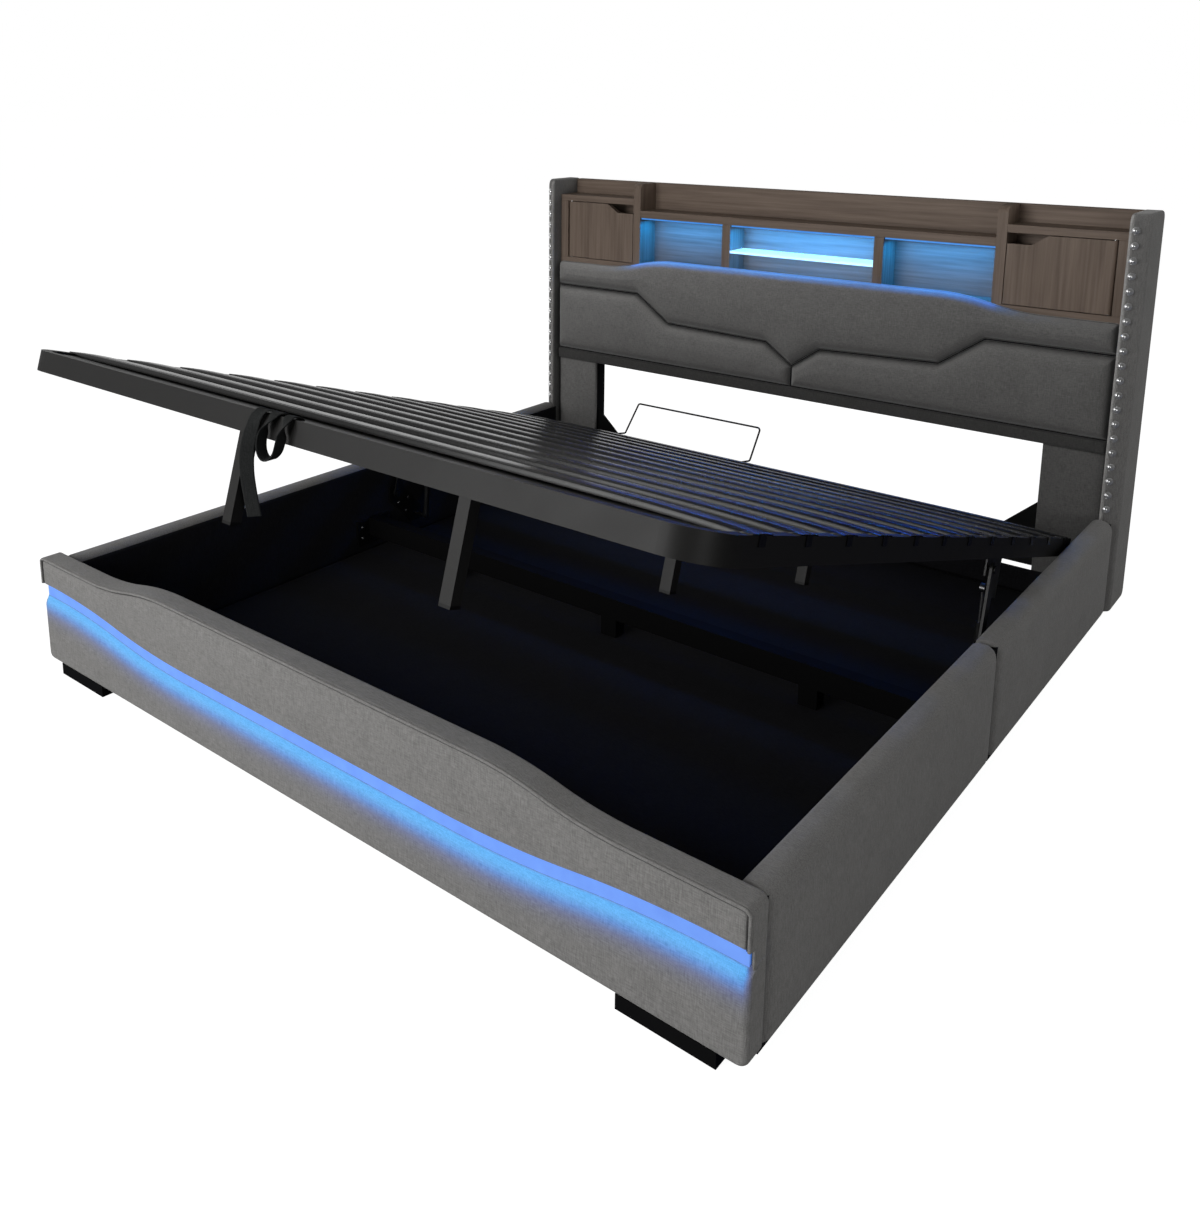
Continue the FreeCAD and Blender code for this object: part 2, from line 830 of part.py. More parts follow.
def make_hardware():
    low = "joining_plate_base"
    top = "joining_plate_base + joining_plate_rise"
    reach = "joining_plate_width / 2"
    inset = "bolt_inset"
    heights = (low + " + " + inset, top + " - " + inset)
    hole = "bolt_hole_radius"
    corners = [("-" + reach, low), (reach, low), (reach, top), ("-" + reach, top)]
    joining_holes = [("%s(%s - %s)" % (sign, reach, inset), z, hole) for sign in ("", "-") for z in heights]
    plates = []
    for side in SIDES:
        spot = ("plate_inner" if side > 0 else "-plate_outer",)
        name = "joining_plate_" + SIDE_NAMES[side]
        plates.append(plate(name, "YZ_Plane", corners, joining_holes, "plate_thickness", spot))
    group("rail_joining_plates", plates)

    group("corner_brackets", [corner_bracket(side, end) for side in SIDES for end in (-1, 1)])

    beam = box("middle_cross_beam_board", "2 * plate_inner", "beam_width", "beam_rise",
               "-plate_inner", "-beam_half", "beam_base")
    node(beam, "middle_cross_beam")
    feet = []
    for step in (-1, 0, 1):
        x = "%d * middle_foot_spacing - middle_foot_width / 2" % step
        feet.append(box("middle_foot_%d" % (step + 2), "middle_foot_width", "beam_width",
                        "beam_base - liner_floor", x, "-beam_half", "liner_floor"))
    group("middle_feet", feet)

    bolts = END_BOLTS + HEAD_BOLTS + rail_bolts(1) + rail_bolts(-1)
    soft("assembly_bolts", Part.makeCompound([bolt(*item) for item in bolts]))


def corner_bracket(side, end):
    """An angle bracket in one corner of the storage box."""
    name = "corner_bracket_%s_%s" % (SIDE_NAMES[side], "foot" if end < 0 else "head")
    thick = size("plate_thickness")
    low = size("joining_plate_base")
    high = low + size("joining_plate_rise")
    reach = size("corner_plate_width")
    if end < 0:
        near = size("liner_front") + size("liner_thickness")
        far = near + reach
        wall = (near, near + thick)
    else:
        far = size("liner_back") - size("liner_thickness")
        near = size("wing_front") - 2 * size("bolt_inset")
        wall = (far - thick, far)
    low_x, high_x = side_span(side, size("plate_inner"), size("plate_outer"))
    along = solid_box((low_x, near, low), (high_x, far, high))
    low_x, high_x = side_span(side, size("plate_outer") - reach, size("plate_outer"))
    across = solid_box((low_x, wall[0], low), (high_x, wall[1], high))
    bent = along.fuse(across).removeSplitter()
    bracket = doc.addObject("Part::Feature", name)
    bracket.Shape = drill(bent, corner_side_bolts(side, end) + corner_end_bolts(side, end))
    return bracket


# Storage box


def make_storage():
    edge = "floor_panel_play"
    width = "2 * (inner_half - %s)" % edge
    left = "-(inner_half - %s)" % edge
    front = box("floor_panel_front", width, "front_rail_length - %s - beam_half" % edge,
                "floor_panel_thickness", left, "rail_front + " + edge, "0")
    rear = box("floor_panel_rear", width, "leg_pad_front - %s - %s / 2 + beam_half" % (edge, edge),
               "floor_panel_thickness", left, "%s / 2 - beam_half" % edge, "0")
    group("storage_floor_panels", [front, rear])

    half = size("liner_half")
    wall = size("liner_thickness")
    gap = size("soft_gap")
    low = size("liner_base")
    floor = low + wall
    start = size("liner_front")
    end = size("liner_back")
    top = size("liner_top")
    panels = [solid_box((-half, start, low), (half, end, floor))]
    panels.append(solid_box((-half, start, floor), (half, start + wall, top)))
    panels.append(solid_box((-half, end - wall, floor), (half, end, size("liner_head_top"))))
    for side in SIDES:
        low_x, high_x = side_span(side, half - wall, half)
        panels.append(solid_box((low_x, start + wall + gap, floor), (high_x, size("wing_front"), top)))
    bolts = END_BOLTS + HEAD_BOLTS + rail_bolts(1) + rail_bolts(-1)
    soft("storage_liner", Part.makeCompound([drill(panel, bolts) for panel in panels]))


# Headboard


def wing_plan(side):
    """The outline of a wing seen from above: its front face is turned outwards."""
    inner = size("wing_inner")
    outer = size("outer_half")
    front = size("wing_front")
    spots = [(inner, front), (outer, front + size("nose_setback")), (outer, size("wing_back")),
             (inner, size("wing_back"))]
    return [vec(side * x, y, size("rail_base")) for x, y in spots]


def nose_direction(side):
    """The way along the wing's front face, from its inner corner outwards, and the way out of it."""
    run = size("wing_thickness")
    back = size("nose_setback")
    length = math.hypot(run, back)
    return vec(side * run / length, back / length, 0), vec(side * back / length, -run / length, 0)


def make_wing(side):
    base = size("rail_base")
    rise = size("wing_top") - base
    block = Part.Face(Part.makePolygon(wing_plan(side) + wing_plan(side)[:1])).extrude(vec(0, 0, rise))
    upright = [edge for edge in block.Edges if abs(edge.Length - rise) < NEAR]
    block = block.makeFillet(size("wing_round"), upright)
    # Seen from the side, the top front and the bottom back corners are round
    reach = size("wing_depth")
    low_x, high_x = side_span(side, size("wing_inner"), size("outer_half"))
    outline = solid_box((low_x, size("wing_front"), base), (high_x, size("wing_front") + reach, base + rise))

    def corner(spot):
        at_front = abs(spot.y - size("wing_front")) < NEAR
        at_top = abs(spot.z - size("wing_top")) < NEAR
        return at_front == at_top

    outline = outline.makeFillet(size("wing_side_round"), edges_at(outline, corner))
    block = block.common(outline)
    low_x, high_x = wing_board_span(side)
    board_low = (low_x, size("wing_front") + size("nose_setback"), 0)
    board_high = (high_x, size("wing_back") - size("wing_back_foam"), size("wing_top") - size("cover_top_foam"))
    cover = block.cut(solid_box(board_low, board_high))
    soft(SIDE_NAMES[side] + "_wing_cover", cover)


def wing_board_span(side):
    inner = size("wing_inner") + (size("wing_thickness") - size("wing_board_thickness")) / 2
    return side_span(side, inner, inner + size("wing_board_thickness"))


def make_wings():
    foam = "(wing_thickness - wing_board_thickness) / 2"
    boards = mirrored_boxes("wing_board", "wing_inner + " + foam, "outer_half - " + foam,
                            "wing_depth - nose_setback - wing_back_foam",
                            "wing_top - cover_top_foam - rail_base - wing_side_round",
                            "wing_front + nose_setback", "rail_base + wing_side_round")
    group("wing_boards", boards)
    for side in SIDES:
        make_wing(side)
    domes = []
    for side in SIDES:
        along, out = nose_direction(side)
        corner = vec(side * size("wing_inner"), size("wing_front"), 0)
        spot = corner + along * size("stud_inset")
        count = int((size("stud_first") - size("rail_top")) / size("stud_pitch")) + 1
        for index in range(count):
            centre = spot + vec(0, 0, size("stud_first") - index * size("stud_pitch"))
            domes.append(Part.makeSphere(size("stud_radius"), centre, out, 0, 90, 360))
    soft("wing_studs", Part.makeCompound(domes))


def make_shelves():
    node(box("back_board", "2 * wing_inner", "back_panel_thickness", "back_panel_top - headboard_base",
             "-wing_inner", "back_panel_front", "headboard_base"), "headboard_back_panel")
    node(box("bottom_board", "2 * wing_inner", "shelf_depth", "shelf_board_thickness",
             "-wing_inner", "shelf_front", "shelf_base"), "shelf_bottom_board")
    node(box("middle_board", "2 * upright_inner", "shelf_depth", "middle_shelf_thickness",
             "-upright_inner", "shelf_front", "middle_shelf_base"), "middle_shelf_board")
    group("cabinet_tops", mirrored_boxes("cabinet_top", "cabinet_inner", "wing_inner", "shelf_depth",
                                         "cabinet_top_thickness", "shelf_front", "cabinet_top_base"))
    group("cabinet_sides", mirrored_boxes("cabinet_side", "cabinet_side", "wing_inner", "shelf_depth",
                                          "door_rise", "shelf_front", "shelf_floor"))
    group("niche_dividers", mirrored_boxes("niche_divider", "divider_inner", "divider_outer", "shelf_depth",
                                           "middle_shelf_base - shelf_floor", "shelf_front", "shelf_floor"))
    uprights = []
    for side in SIDES:
        corners = [("shelf_front", "shelf_floor"), ("back_panel_front", "shelf_floor"),
                   ("back_panel_front", "upright_top"), ("shelf_front", "upright_top")]
        spot = ("upright_inner" if side > 0 else "-cabinet_inner",)

        def front_top(shape):
            names = []
            for number, edge in enumerate(shape.Edges, 1):
                middle = edge.CenterOfMass
                near_front = abs(middle.y - size("shelf_front")) < NEAR
                if near_front and abs(middle.z - size("upright_top")) < NEAR:
                    names.append("Edge%d" % number)
            return names

        uprights.append(plate("upright_" + SIDE_NAMES[side], "YZ_Plane", corners, [],
                              "upright_thickness", spot, ("upright_round", front_top)))
    group("shelf_uprights", uprights)

    node(box("glass_board", "2 * (divider_inner - glass_play)", "shelf_depth - glass_play",
             "glass_thickness", "-(divider_inner - glass_play)", "shelf_front", "glass_base"), "glass_shelf")
    pins = []
    for side in SIDES:
        for number, y in enumerate(("shelf_front + glass_pin_inset", "back_panel_front - glass_pin_inset")):
            name = "glass_pin_%s_%d" % (SIDE_NAMES[side], number)
            pins.append(cross_cylinder(name, "glass_pin_radius", "divider_inner - glass_pin_reach",
                                       "divider_inner", y, "glass_base - glass_pin_radius", side))
    group("glass_shelf_pins", pins)

    strips = []
    spans = (("left", "-upright_inner", "-divider_outer"), ("middle", "-divider_inner", "divider_inner"),
             ("right", "divider_outer", "upright_inner"))
    for name, start, end in spans:
        strips.append(box("niche_light_" + name, "%s - (%s)" % (end, start), "niche_light_width",
                          "niche_light_depth", start, "shelf_front + niche_light_setback",
                          "middle_shelf_base - niche_light_depth"))
    group("niche_light_strips", strips)
    node(box("supply_box", "supply_width", "supply_depth", "supply_rise", "-supply_width / 2",
             "shelf_front", "supply_base"), "led_power_supply")


def channel_points(side, y, offset):
    """The channel between the upper and lower pads, moved down by an offset."""
    spots = [(size("panel_half"), size("channel_side_z")), (size("channel_outer_x"), size("channel_side_z")),
             (size("channel_inner_x"), size("channel_inner_z")),
             (size("channel_fork_x"), size("channel_fork_z")), (0, size("channel_middle_z"))]
    return [vec(side * x, y, z - offset) for x, z in spots]


def make_headboard_pads():
    front = size("panel_front")
    back = size("panel_back")
    half = size("panel_half")
    top = size("panel_top")
    wave = (size("panel_wave_end"), size("panel_wave_flat"))
    gap = size("channel_width") / 2
    board_half = half - size("panel_board_inset")
    board_base = size("headboard_base") + size("panel_board_inset")
    board = wave_board(back, size("panel_board_thickness"), board_half, board_base, *wave,
                       top - size("panel_board_inset"), size("panel_wave_rise"))
    soft("headboard_panel_board", board)

    steps = wave_steps(front, half, *wave, top, size("panel_wave_rise"))
    left = channel_points(-1, front, -gap)
    right = channel_points(1, front, -gap)
    steps += left + right[::-1][1:]
    face = face_through(vec(half, front, top), steps)
    upper = face.extrude(vec(0, back - front, 0))
    soft("headboard_upper_pad", rounded_front(upper, front, size("panel_round")))

    for side in SIDES:
        points = channel_points(side, front, gap)
        middle = vec(side * gap, front, size("channel_middle_z") - gap)
        points[-1] = middle
        low = size("border_top") + gap
        points.append(vec(side * gap, front, low))
        points.append(vec(side * half, front, low))
        face = face_through(points[0], points[1:])
        lower = face.extrude(vec(0, back - front, 0))
        name = "headboard_%s_lower_pad" % SIDE_NAMES[side]
        soft(name, rounded_front(lower, front, size("panel_round")))

    border_front = front + size("border_setback")
    border = solid_box((-half, border_front, size("headboard_base")), (half, back, size("border_top") - gap))
    soft("headboard_border_pad", rounded_front(border, border_front, size("pad_round")))


def make_legs():
    corners_right = [("leg_inner", "glide_height"), ("wing_inner", "glide_height"),
                     ("wing_inner", "headboard_base"), ("leg_inner", "headboard_base")]
    x = "plate_outer - corner_plate_width + bolt_inset"
    low = "joining_plate_base + bolt_inset"
    high = "joining_plate_base + joining_plate_rise - bolt_inset"
    legs = []
    pads = []
    for side in SIDES:
        sign = "" if side > 0 else "-"
        corners = [(sign + across, up) for across, up in corners_right]
        holes = [("%s(%s)" % (sign, x), z, "bolt_hole_radius") for z in (low, high)]
        legs.append(plate("leg_" + SIDE_NAMES[side], "XZ_Plane", corners, holes, "leg_depth", ("0", "leg_front")))
        low_x, high_x = side_span(side, size("leg_inner"), size("panel_half"))
        pad = solid_box((low_x, size("leg_pad_front"), size("leg_pad_base")),
                        (high_x, size("leg_front"), size("headboard_base") - size("soft_gap")))
        pads.append(drill(rounded_front(pad, size("leg_pad_front"), size("leg_round")), HEAD_BOLTS))
    group("headboard_legs", legs)
    soft("headboard_leg_pads", Part.makeCompound(pads))

    middle = "(leg_inner + wing_inner) / 2"
    glides = []
    for side in SIDES:
        sign = "" if side > 0 else "-"
        glides.append(upright_cylinder("glide_" + SIDE_NAMES[side], "glide_radius", "glide_height",
                                       sign + middle, "leg_front + leg_depth / 2", "0"))
    group("floor_glides", glides)

    bar_top = "head_bar_base + head_bar_rise"
    bar = box("head_bar", "2 * leg_inner", "head_bar_depth", "head_bar_rise", "-leg_inner",
              "leg_front + head_bar_setback", "head_bar_base")
    gussets = []
    for side in SIDES:
        sign = "" if side > 0 else "-"
        corners = [(sign + "leg_inner", bar_top), (sign + "leg_inner", bar_top + " + gusset_rise"),
                   ("%s(leg_inner - gusset_run)" % sign, bar_top)]
        gussets.append(plate("gusset_" + SIDE_NAMES[side], "XZ_Plane", corners, [], "gusset_thickness",
                             ("0", "leg_front + head_bar_setback")))
    node(fuse("head_bar_with_gussets", [bar] + gussets), "head_end_bar")


# Cabinet doors


def make_doors():
    pins = []
    for side in SIDES:
        sign = "" if side > 0 else "-"
        name = SIDE_NAMES[side]
        top = "door_base + door_height"
        scoop_end = "door_inner + scoop_low_width + scoop_slope_width"
        outline = [("door_inner", "door_base"), ("door_outer", "door_base"), ("door_outer", top),
                   (scoop_end, top), ("door_inner + scoop_low_width", top + " - scoop_depth"),
                   ("door_inner", top + " - scoop_depth")]
        corners = [("%s(%s)" % (sign, across), up) for across, up in outline]
        board = plate("door_board_" + name, "XZ_Plane", corners, [], "door_thickness", ("0", "shelf_front"))
        holes = []
        for end, z in (("low", "door_base"), ("high", top + " - door_pin_reach")):
            holes.append(upright_cylinder("door_hole_%s_%s" % (name, end), "door_pin_hole_radius",
                                          "door_pin_reach", sign + "door_pin_x", "door_pin_y", z))
        # The hinged edge is round about its pin
        square = box("door_square_" + name, "door_edge", "door_thickness", "door_height",
                     "door_pin_x" if side > 0 else "-door_outer", "shelf_front", "door_base")
        barrel = upright_cylinder("door_barrel_" + name, "door_edge", "door_height",
                                  sign + "door_pin_x", "door_pin_y", "door_base")
        corner_waste = cut("door_waste_" + name, square, barrel)
        tools = fuse("door_tools_" + name, holes + [corner_waste])
        node(cut("door_cut_" + name, board, tools), name + "_door")
        pin_length = "door_gap + door_pin_reach - door_gap / 2"
        pins.append(upright_cylinder("door_pin_%s_low" % name, "door_pin_radius", pin_length,
                                     sign + "door_pin_x", "door_pin_y", "shelf_floor"))
        pins.append(upright_cylinder("door_pin_%s_high" % name, "door_pin_radius", pin_length,
                                     sign + "door_pin_x", "door_pin_y", "cabinet_top_base - (%s)" % pin_length))
    group("door_hinge_pins", pins)


# Slat frame, made in its own plane and then tilted into place


def tilt(thing):
    place(thing, "0", "frame_y", "frame_z", "-frame_tilt")
    return thing


def tilted_soft(label, shape):
    piece = soft(label, shape)
    return tilt(piece)


def u_outline(inset, low, high):
    """The frame's bent bar seen from above, drawn in from its outside by an inset."""
    half = size("frame_half") - inset
    radius = size("frame_corner_radius") - inset
    length = size("frame_length")
    near = inset
    bend = radius * (1 - math.sqrt(0.5))
    start = vec(half, length, low)
    steps = [vec(half, near + radius, low), (vec(half - bend, near + bend, low), vec(half - radius, near, low)),
             vec(radius - half, near, low), (vec(bend - half, near + bend, low), vec(-half, near + radius, low)),
             vec(-half, length, low)]
    return face_through(start, steps).extrude(vec(0, 0, high - low))


def make_frame():
    height = size("bar_height")
    width = size("bar_width")
    wall = size("bar_wall")
    bar = u_outline(0, -height, 0).cut(u_outline(width, -height, 0))
    hollow = u_outline(wall, wall - height, -wall).cut(u_outline(width - wall, wall - height, -wall))
    tilted_soft("slat_frame_tube", bar.cut(hollow))

    # The front tube is cut to the bend of the bar
    bend = doc.addObject("Part::Feature", "bar_outside")
    bend.Shape = bar
    tubes = []
    for start in ("leg_front_s", "leg_middle_s", "leg_rear_s"):
        tube = square_tube("cross_tube_" + start, "2 * bar_inner", "cross_tube_width",
                           "cross_tube_height", "-bar_inner", start, "-bar_height", "bar_wall", "x")
        tubes.append(cut("fitted_front_tube", tube, bend) if start == "leg_front_s" else tube)
    tubes.append(square_tube("cross_tube_head", "2 * bar_inner", "bar_width", "bar_height",
                             "-bar_inner", "frame_length - bar_width", "-bar_height", "bar_wall", "x"))
    tilt(group("frame_cross_tubes", tubes))

    slats = []
    rivets = []
    count = int((size("frame_length") - size("slat_first")) / size("slat_pitch")) + 1
    for index in range(count):
        middle = size("slat_first") + index * size("slat_pitch")
        slats.append(slat(middle))
        for side in SIDES:
            spot = vec(side * (size("frame_half") - width / 2), middle, size("slat_thickness"))
            rivets.append(Part.makeCylinder(size("rivet_radius"), size("rivet_height"), spot))
    tilted_soft("slats", Part.makeCompound(slats))
    tilted_soft("slat_rivets", Part.makeCompound(rivets))

    legs = []
    caps = []
    spots = [("leg_left_x", "leg_front_s"), ("leg_right_x", "leg_front_s"), ("leg_right_x", "leg_middle_s"),
             ("leg_right_x", "leg_rear_s")]
    for number, (x, s) in enumerate(spots, 1):
        left = x + " - leg_tube_width / 2"
        legs.append(square_tube("support_leg_%d" % number, "leg_tube_width", "leg_tube_width",
                                "leg_tube_end - bar_height", left, s, "-leg_tube_end", "bar_wall", "z"))
        caps.append(box("support_leg_cap_%d" % number, "leg_tube_width", "leg_tube_width",
                        "leg_cap_height", left, s, "-leg_tube_end - leg_cap_height"))
    tilt(group("support_legs", legs))
    tilt(group("support_leg_caps", caps))
    tilted_soft("mattress_stop", mattress_stop())
    tilted_soft("pull_strap", pull_strap())


def slat(middle):
    """A bowed slat whose ends lie on the side bars and hook over them."""
    half = size("frame_half")
    thick = size("slat_thickness")
    crown = size("slat_crown")
    flat = size("bar_inner")
    start = middle - size("slat_width") / 2
    outer = half + size("slat_end_play")
    steps = [(vec(0, start, crown), vec(-flat, start, 0)), vec(-outer, start, 0), vec(-outer, start, thick),
             vec(-flat, start, thick), (vec(0, start, crown + thick), vec(flat, start, thick)),
             vec(outer, start, thick), vec(outer, start, 0)]
    strip = face_through(vec(flat, start, 0), steps).extrude(vec(0, size("slat_width"), 0))
    tab_start = middle - size("slat_tab_width") / 2
    for side in SIDES:
        low_x, high_x = side_span(side, half, half + size("slat_tab_thickness"))
        tab = solid_box((low_x, tab_start, -size("slat_tab_drop")),
                        (high_x, tab_start + size("slat_tab_width"), thick))
        strip = strip.fuse(tab)
    return strip.removeSplitter()


def round_bar(spots, radius, bend):
    """A bent round bar through points, with an arc at each turn."""
    edges = []
    here = spots[0]
    for index in range(1, len(spots) - 1):
        turn = spots[index]
        before = (spots[index - 1] - turn).normalize()
        after = (spots[index + 1] - turn).normalize()
        angle = before.getAngle(after)
        back = bend / math.tan(angle / 2)
        first = turn + before * back
        last = turn + after * back
        inward = (before + after).normalize()
        middle = turn + inward * (bend / math.sin(angle / 2) - bend)
        edges.append(Part.LineSegment(here, first).toShape())
        edges.append(Part.Arc(first, middle, last).toShape())
        here = last
    edges.append(Part.LineSegment(here, spots[-1]).toShape())
    path = Part.Wire(edges)
    way = (spots[1] - spots[0]).normalize()
    ring = Part.Wire([Part.Circle(spots[0], way, radius).toShape()])
    return path.makePipeShell([ring], True, False)


def mattress_stop():
    """The wire bail at the head end that keeps the mattress from sliding."""
    radius = size("wire_radius")
    s = size("frame_length") - size("wire_inset")
    low = radius
    left = size("wire_left")
    foot = size("wire_foot")
    lean = size("wire_lean")
    span = size("wire_span")
    rise = size("wire_rise")
    step = size("wire_step")
    right = left + foot + lean + span
    spots = [vec(left, s, low), vec(left + foot, s, low + step / 2), vec(left + foot + lean, s, rise),
             vec(right, s, rise), vec(right - lean / 2, s, low + step / 2), vec(right - foot, s, low)]
    return round_bar(spots, radius, size("wire_bend"))


def band(spots, thickness, low_x, width):
    """A flat band along a run of (s, n) points, with the corners mitred."""
    inner = []
    outer = []
    for index, spot in enumerate(spots):
        before = spots[max(index - 1, 0)]
        after = spots[min(index + 1, len(spots) - 1)]
        ways = []
        for first, last in ((before, spot), (spot, after)):
            if first != last:
                ways.append(vec(0, last[0] - first[0], last[1] - first[1]).normalize())
        normals = [vec(0, -way.z, way.y) for way in ways]
        mean = (normals[0] + normals[-1]).normalize()
        reach = thickness / 2 / mean.dot(normals[0])
        centre = vec(low_x, spot[0], spot[1])
        outer.append(centre + mean * reach)
        inner.append(centre - mean * reach)
    face = face_through(outer[0], outer[1:] + inner[::-1])
    return face.extrude(vec(width, 0, 0))


def hanging_strap(x, drop):
    """Webbing laid over the front bar, whose free end hangs straight down in front of it."""
    thick = size("strap_thickness")
    off = size("soft_gap") + thick / 2
    back = size("bar_width") + off
    low = -size("bar_height")
    fall = drop - size("bar_height")
    spots = [(back, low), (back, off), (-off, off), (-off, low),
             (-off + fall * size("tilt_sin"), low - fall * size("tilt_cos"))]
    return band(spots, thick, x - size("strap_width") / 2, size("strap_width"))


def pull_strap():
    tail = hanging_strap(size("strap_x"), size("strap_drop"))
    loop = hanging_strap(size("strap_loop_x"), size("strap_loop_drop"))
    return Part.makeCompound([tail, loop])


# Lift linkage


def pivot(name, radius, inner, outer, y, z, side, head_inner, head_outer):
    """A round pin across the bed with a head on it."""
    shank = cross_cylinder(name + "_shank", radius, inner, outer, y, z, side)
    head = cross_cylinder(name + "_head", radius + " + pivot_head", head_inner, head_outer, y, z, side)
    return fuse(name, [shank, head])


def make_lift():
    plates = []
    brackets = []
    for side in SIDES:
        name = SIDE_NAMES[side]
        edge = "base_plate_edge"
        left = "lift_pivot_y - " + edge
        right = "strut_foot_y + " + edge
        top = "lift_pivot_z + " + edge
        base = "strut_foot_z - " + edge
        corners = [(left, "lift_pivot_z - " + edge), ("strut_foot_y - " + edge, base), (right, base),
                   (right, "strut_foot_z + " + edge), ("lift_pivot_y + " + edge, top), (left, top)]
        spot = ("plate_inner" if side > 0 else "-plate_outer",)
        board = plate("lift_plate_" + name, "YZ_Plane", corners, lift_plate_holes(), "plate_thickness", spot)
        stud = pivot("lift_stud_" + name, "pivot_radius", "arm_inner - pivot_head_height", "plate_inner",
                     "lift_pivot_y", "lift_pivot_z", side,
                     "arm_inner - pivot_head_height - pivot_step", "arm_inner - pivot_step")
        foot = cross_cylinder("strut_stud_" + name, "strut_stud_radius", "strut_inner - pivot_play",
                              "plate_inner", "strut_foot_y", "strut_foot_z", side)
        plates.append(fuse("lift_base_" + name, [board, stud, foot]))
        brackets.append(frame_bracket(side, name))
        make_arm(side, name)
        make_strut(side, name)
    group("lift_base_plates", plates)
    tilt(group("frame_lift_brackets", brackets))


def frame_bracket(side, name):
    """The plate under a side bar that carries the arm's pin and the strut's pin."""
    edge = "bracket_edge"
    low = "-frame_pin_drop - %s" % edge
    corners = [("frame_pin_s - " + edge, "-bar_height"), ("frame_pin_s - " + edge, low),
               ("strut_head_s - " + edge, "-strut_head_fall - " + edge),
               ("strut_head_s + " + edge, "-strut_head_fall - " + edge),
               ("strut_head_s + " + edge, "-bar_height")]
    spot = ("bracket_inner" if side > 0 else "-bracket_outer",)
    board = plate("lift_bracket_" + name, "YZ_Plane", corners, [], "bracket_thickness", spot)
    pin = pivot("frame_pin_" + name, "frame_pin_radius", "bracket_outer", "arm_outer + pivot_head_height",
                "frame_pin_s", "-frame_pin_drop", side, "arm_outer + pivot_step",
                "arm_outer + pivot_head_height + pivot_step")
    head = cross_cylinder("strut_pin_" + name, "strut_stud_radius", "strut_inner - pivot_play",
                          "bracket_inner", "strut_head_s", "-strut_head_fall", side)
    return fuse("lift_bracket_whole_" + name, [board, pin, head])


def make_arm(side, name):
    """The flat arm from the base plate's stud to the frame's pin."""
    half = "arm_width / 2"
    corners = [("-" + half, "-" + half), ("arm_length + " + half, "-" + half),
               ("arm_length + " + half, half), ("-" + half, half)]
    play = "frame_pin_radius + pivot_play" if side > 0 else "frame_pin_radius + open_pin_play"
    spot = ("arm_inner" if side > 0 else "-arm_outer", "lift_pivot_y", "lift_pivot_z", "arm_angle")
    body = plate("arm_" + name, "YZ_Plane", corners, [], "arm_thickness", spot,
                 ("arm_round", thickness_edges(vec(1, 0, 0))))
    holes = body.newObject("Sketcher::SketchObject", "arm_holes_" + name)
    holes.AttachmentSupport = (origin_plane(body, "YZ_Plane"), [""])
    holes.MapMode = "FlatFace"
    for across, radius in (("0", "pivot_radius + pivot_play"), ("arm_length", play)):
        item = holes.addGeometry(Part.Circle(vec(0, 0, 0), vec(0, 0, 1), size("pivot_radius")))
        fix_point(holes, item, 3, across, "0")
        number = holes.addConstraint(Sketcher.Constraint("Radius", item, size("pivot_radius")))
        bind(holes, "Constraints[%d]" % number, radius)
    pocket = body.newObject("PartDesign::Pocket", "arm_bores_" + name)
    pocket.Profile = holes
    pocket.Type = "ThroughAll"
    pocket.Midplane = True
    node(body, name + "_lift_arm")


def make_strut(side, name):
    """A gas strut: a tube with an eye at its foot and a rod with an eye at its head."""
    eye = "strut_eye_radius"
    spot = ("0", "strut_foot_y", "strut_foot_z", "strut_angle")
    ring = cross_cylinder("strut_foot_eye_" + name, eye, "strut_inner", "strut_outer", "0", "0", side)
    tube = along_cylinder("strut_tube_" + name, "strut_tube_radius", "0", "strut_tube_length", side)
    bore = along_cylinder("strut_bore_" + name, "strut_tube_radius - strut_tube_wall",
                          "strut_bore_start", "strut_tube_length - strut_tube_wall", side)
    mouth = along_cylinder("strut_mouth_" + name, "strut_rod_radius + pivot_play",
                           "strut_bore_start", "strut_tube_length + strut_tube_wall", side)
    hole = cross_cylinder("strut_foot_hole_" + name, "strut_stud_radius + pivot_play",
                          "strut_inner - strut_tube_radius", "strut_outer + strut_tube_radius", "0", "0", side)
    whole = fuse("strut_outside_" + name, [ring, tube])
    tools = fuse("strut_inside_" + name, [bore, mouth, hole])
    cylinder = cut("strut_cylinder_" + name, whole, tools)
    place(cylinder, *spot)
    node(cylinder, name + "_strut_cylinder")

    rod = along_cylinder("strut_rod_bar_" + name, "strut_rod_radius", "strut_rod_tail", "strut_length", side)
    end = cross_cylinder("strut_head_eye_" + name, eye, "strut_inner", "strut_outer", "strut_length", "0", side)
    opening = cross_cylinder("strut_head_hole_" + name, "strut_stud_radius + strut_head_play",
                             "strut_inner - strut_rod_radius", "strut_outer + strut_rod_radius",
                             "strut_length", "0", side)
    shaft = cut("strut_rod_cut_" + name, fuse("strut_rod_outside_" + name, [rod, end]), opening)
    place(shaft, *spot)
    node(shaft, name + "_strut_rod")


def along_cylinder(name, radius, start, end, side):
    """A round bar along the strut, in the strut's own plane."""
    solid = doc.addObject("Part::Cylinder", name)
    bind(solid, "Radius", radius)
    bind(solid, "Height", "%s - (%s)" % (end, start))
    x = "strut_plane" if side > 0 else "-strut_plane"
    spot = "placement(vector(%s; %s; 0); rotation(vector(1; 0; 0); -90))" % (x, start)
    bind(solid, "Placement", spot)
    return solid


make_footboard()
make_rails()
make_hardware()
make_storage()
make_wings()
make_shelves()
make_headboard_pads()
make_legs()
make_doors()
make_frame()
make_lift()
doc.recompute()

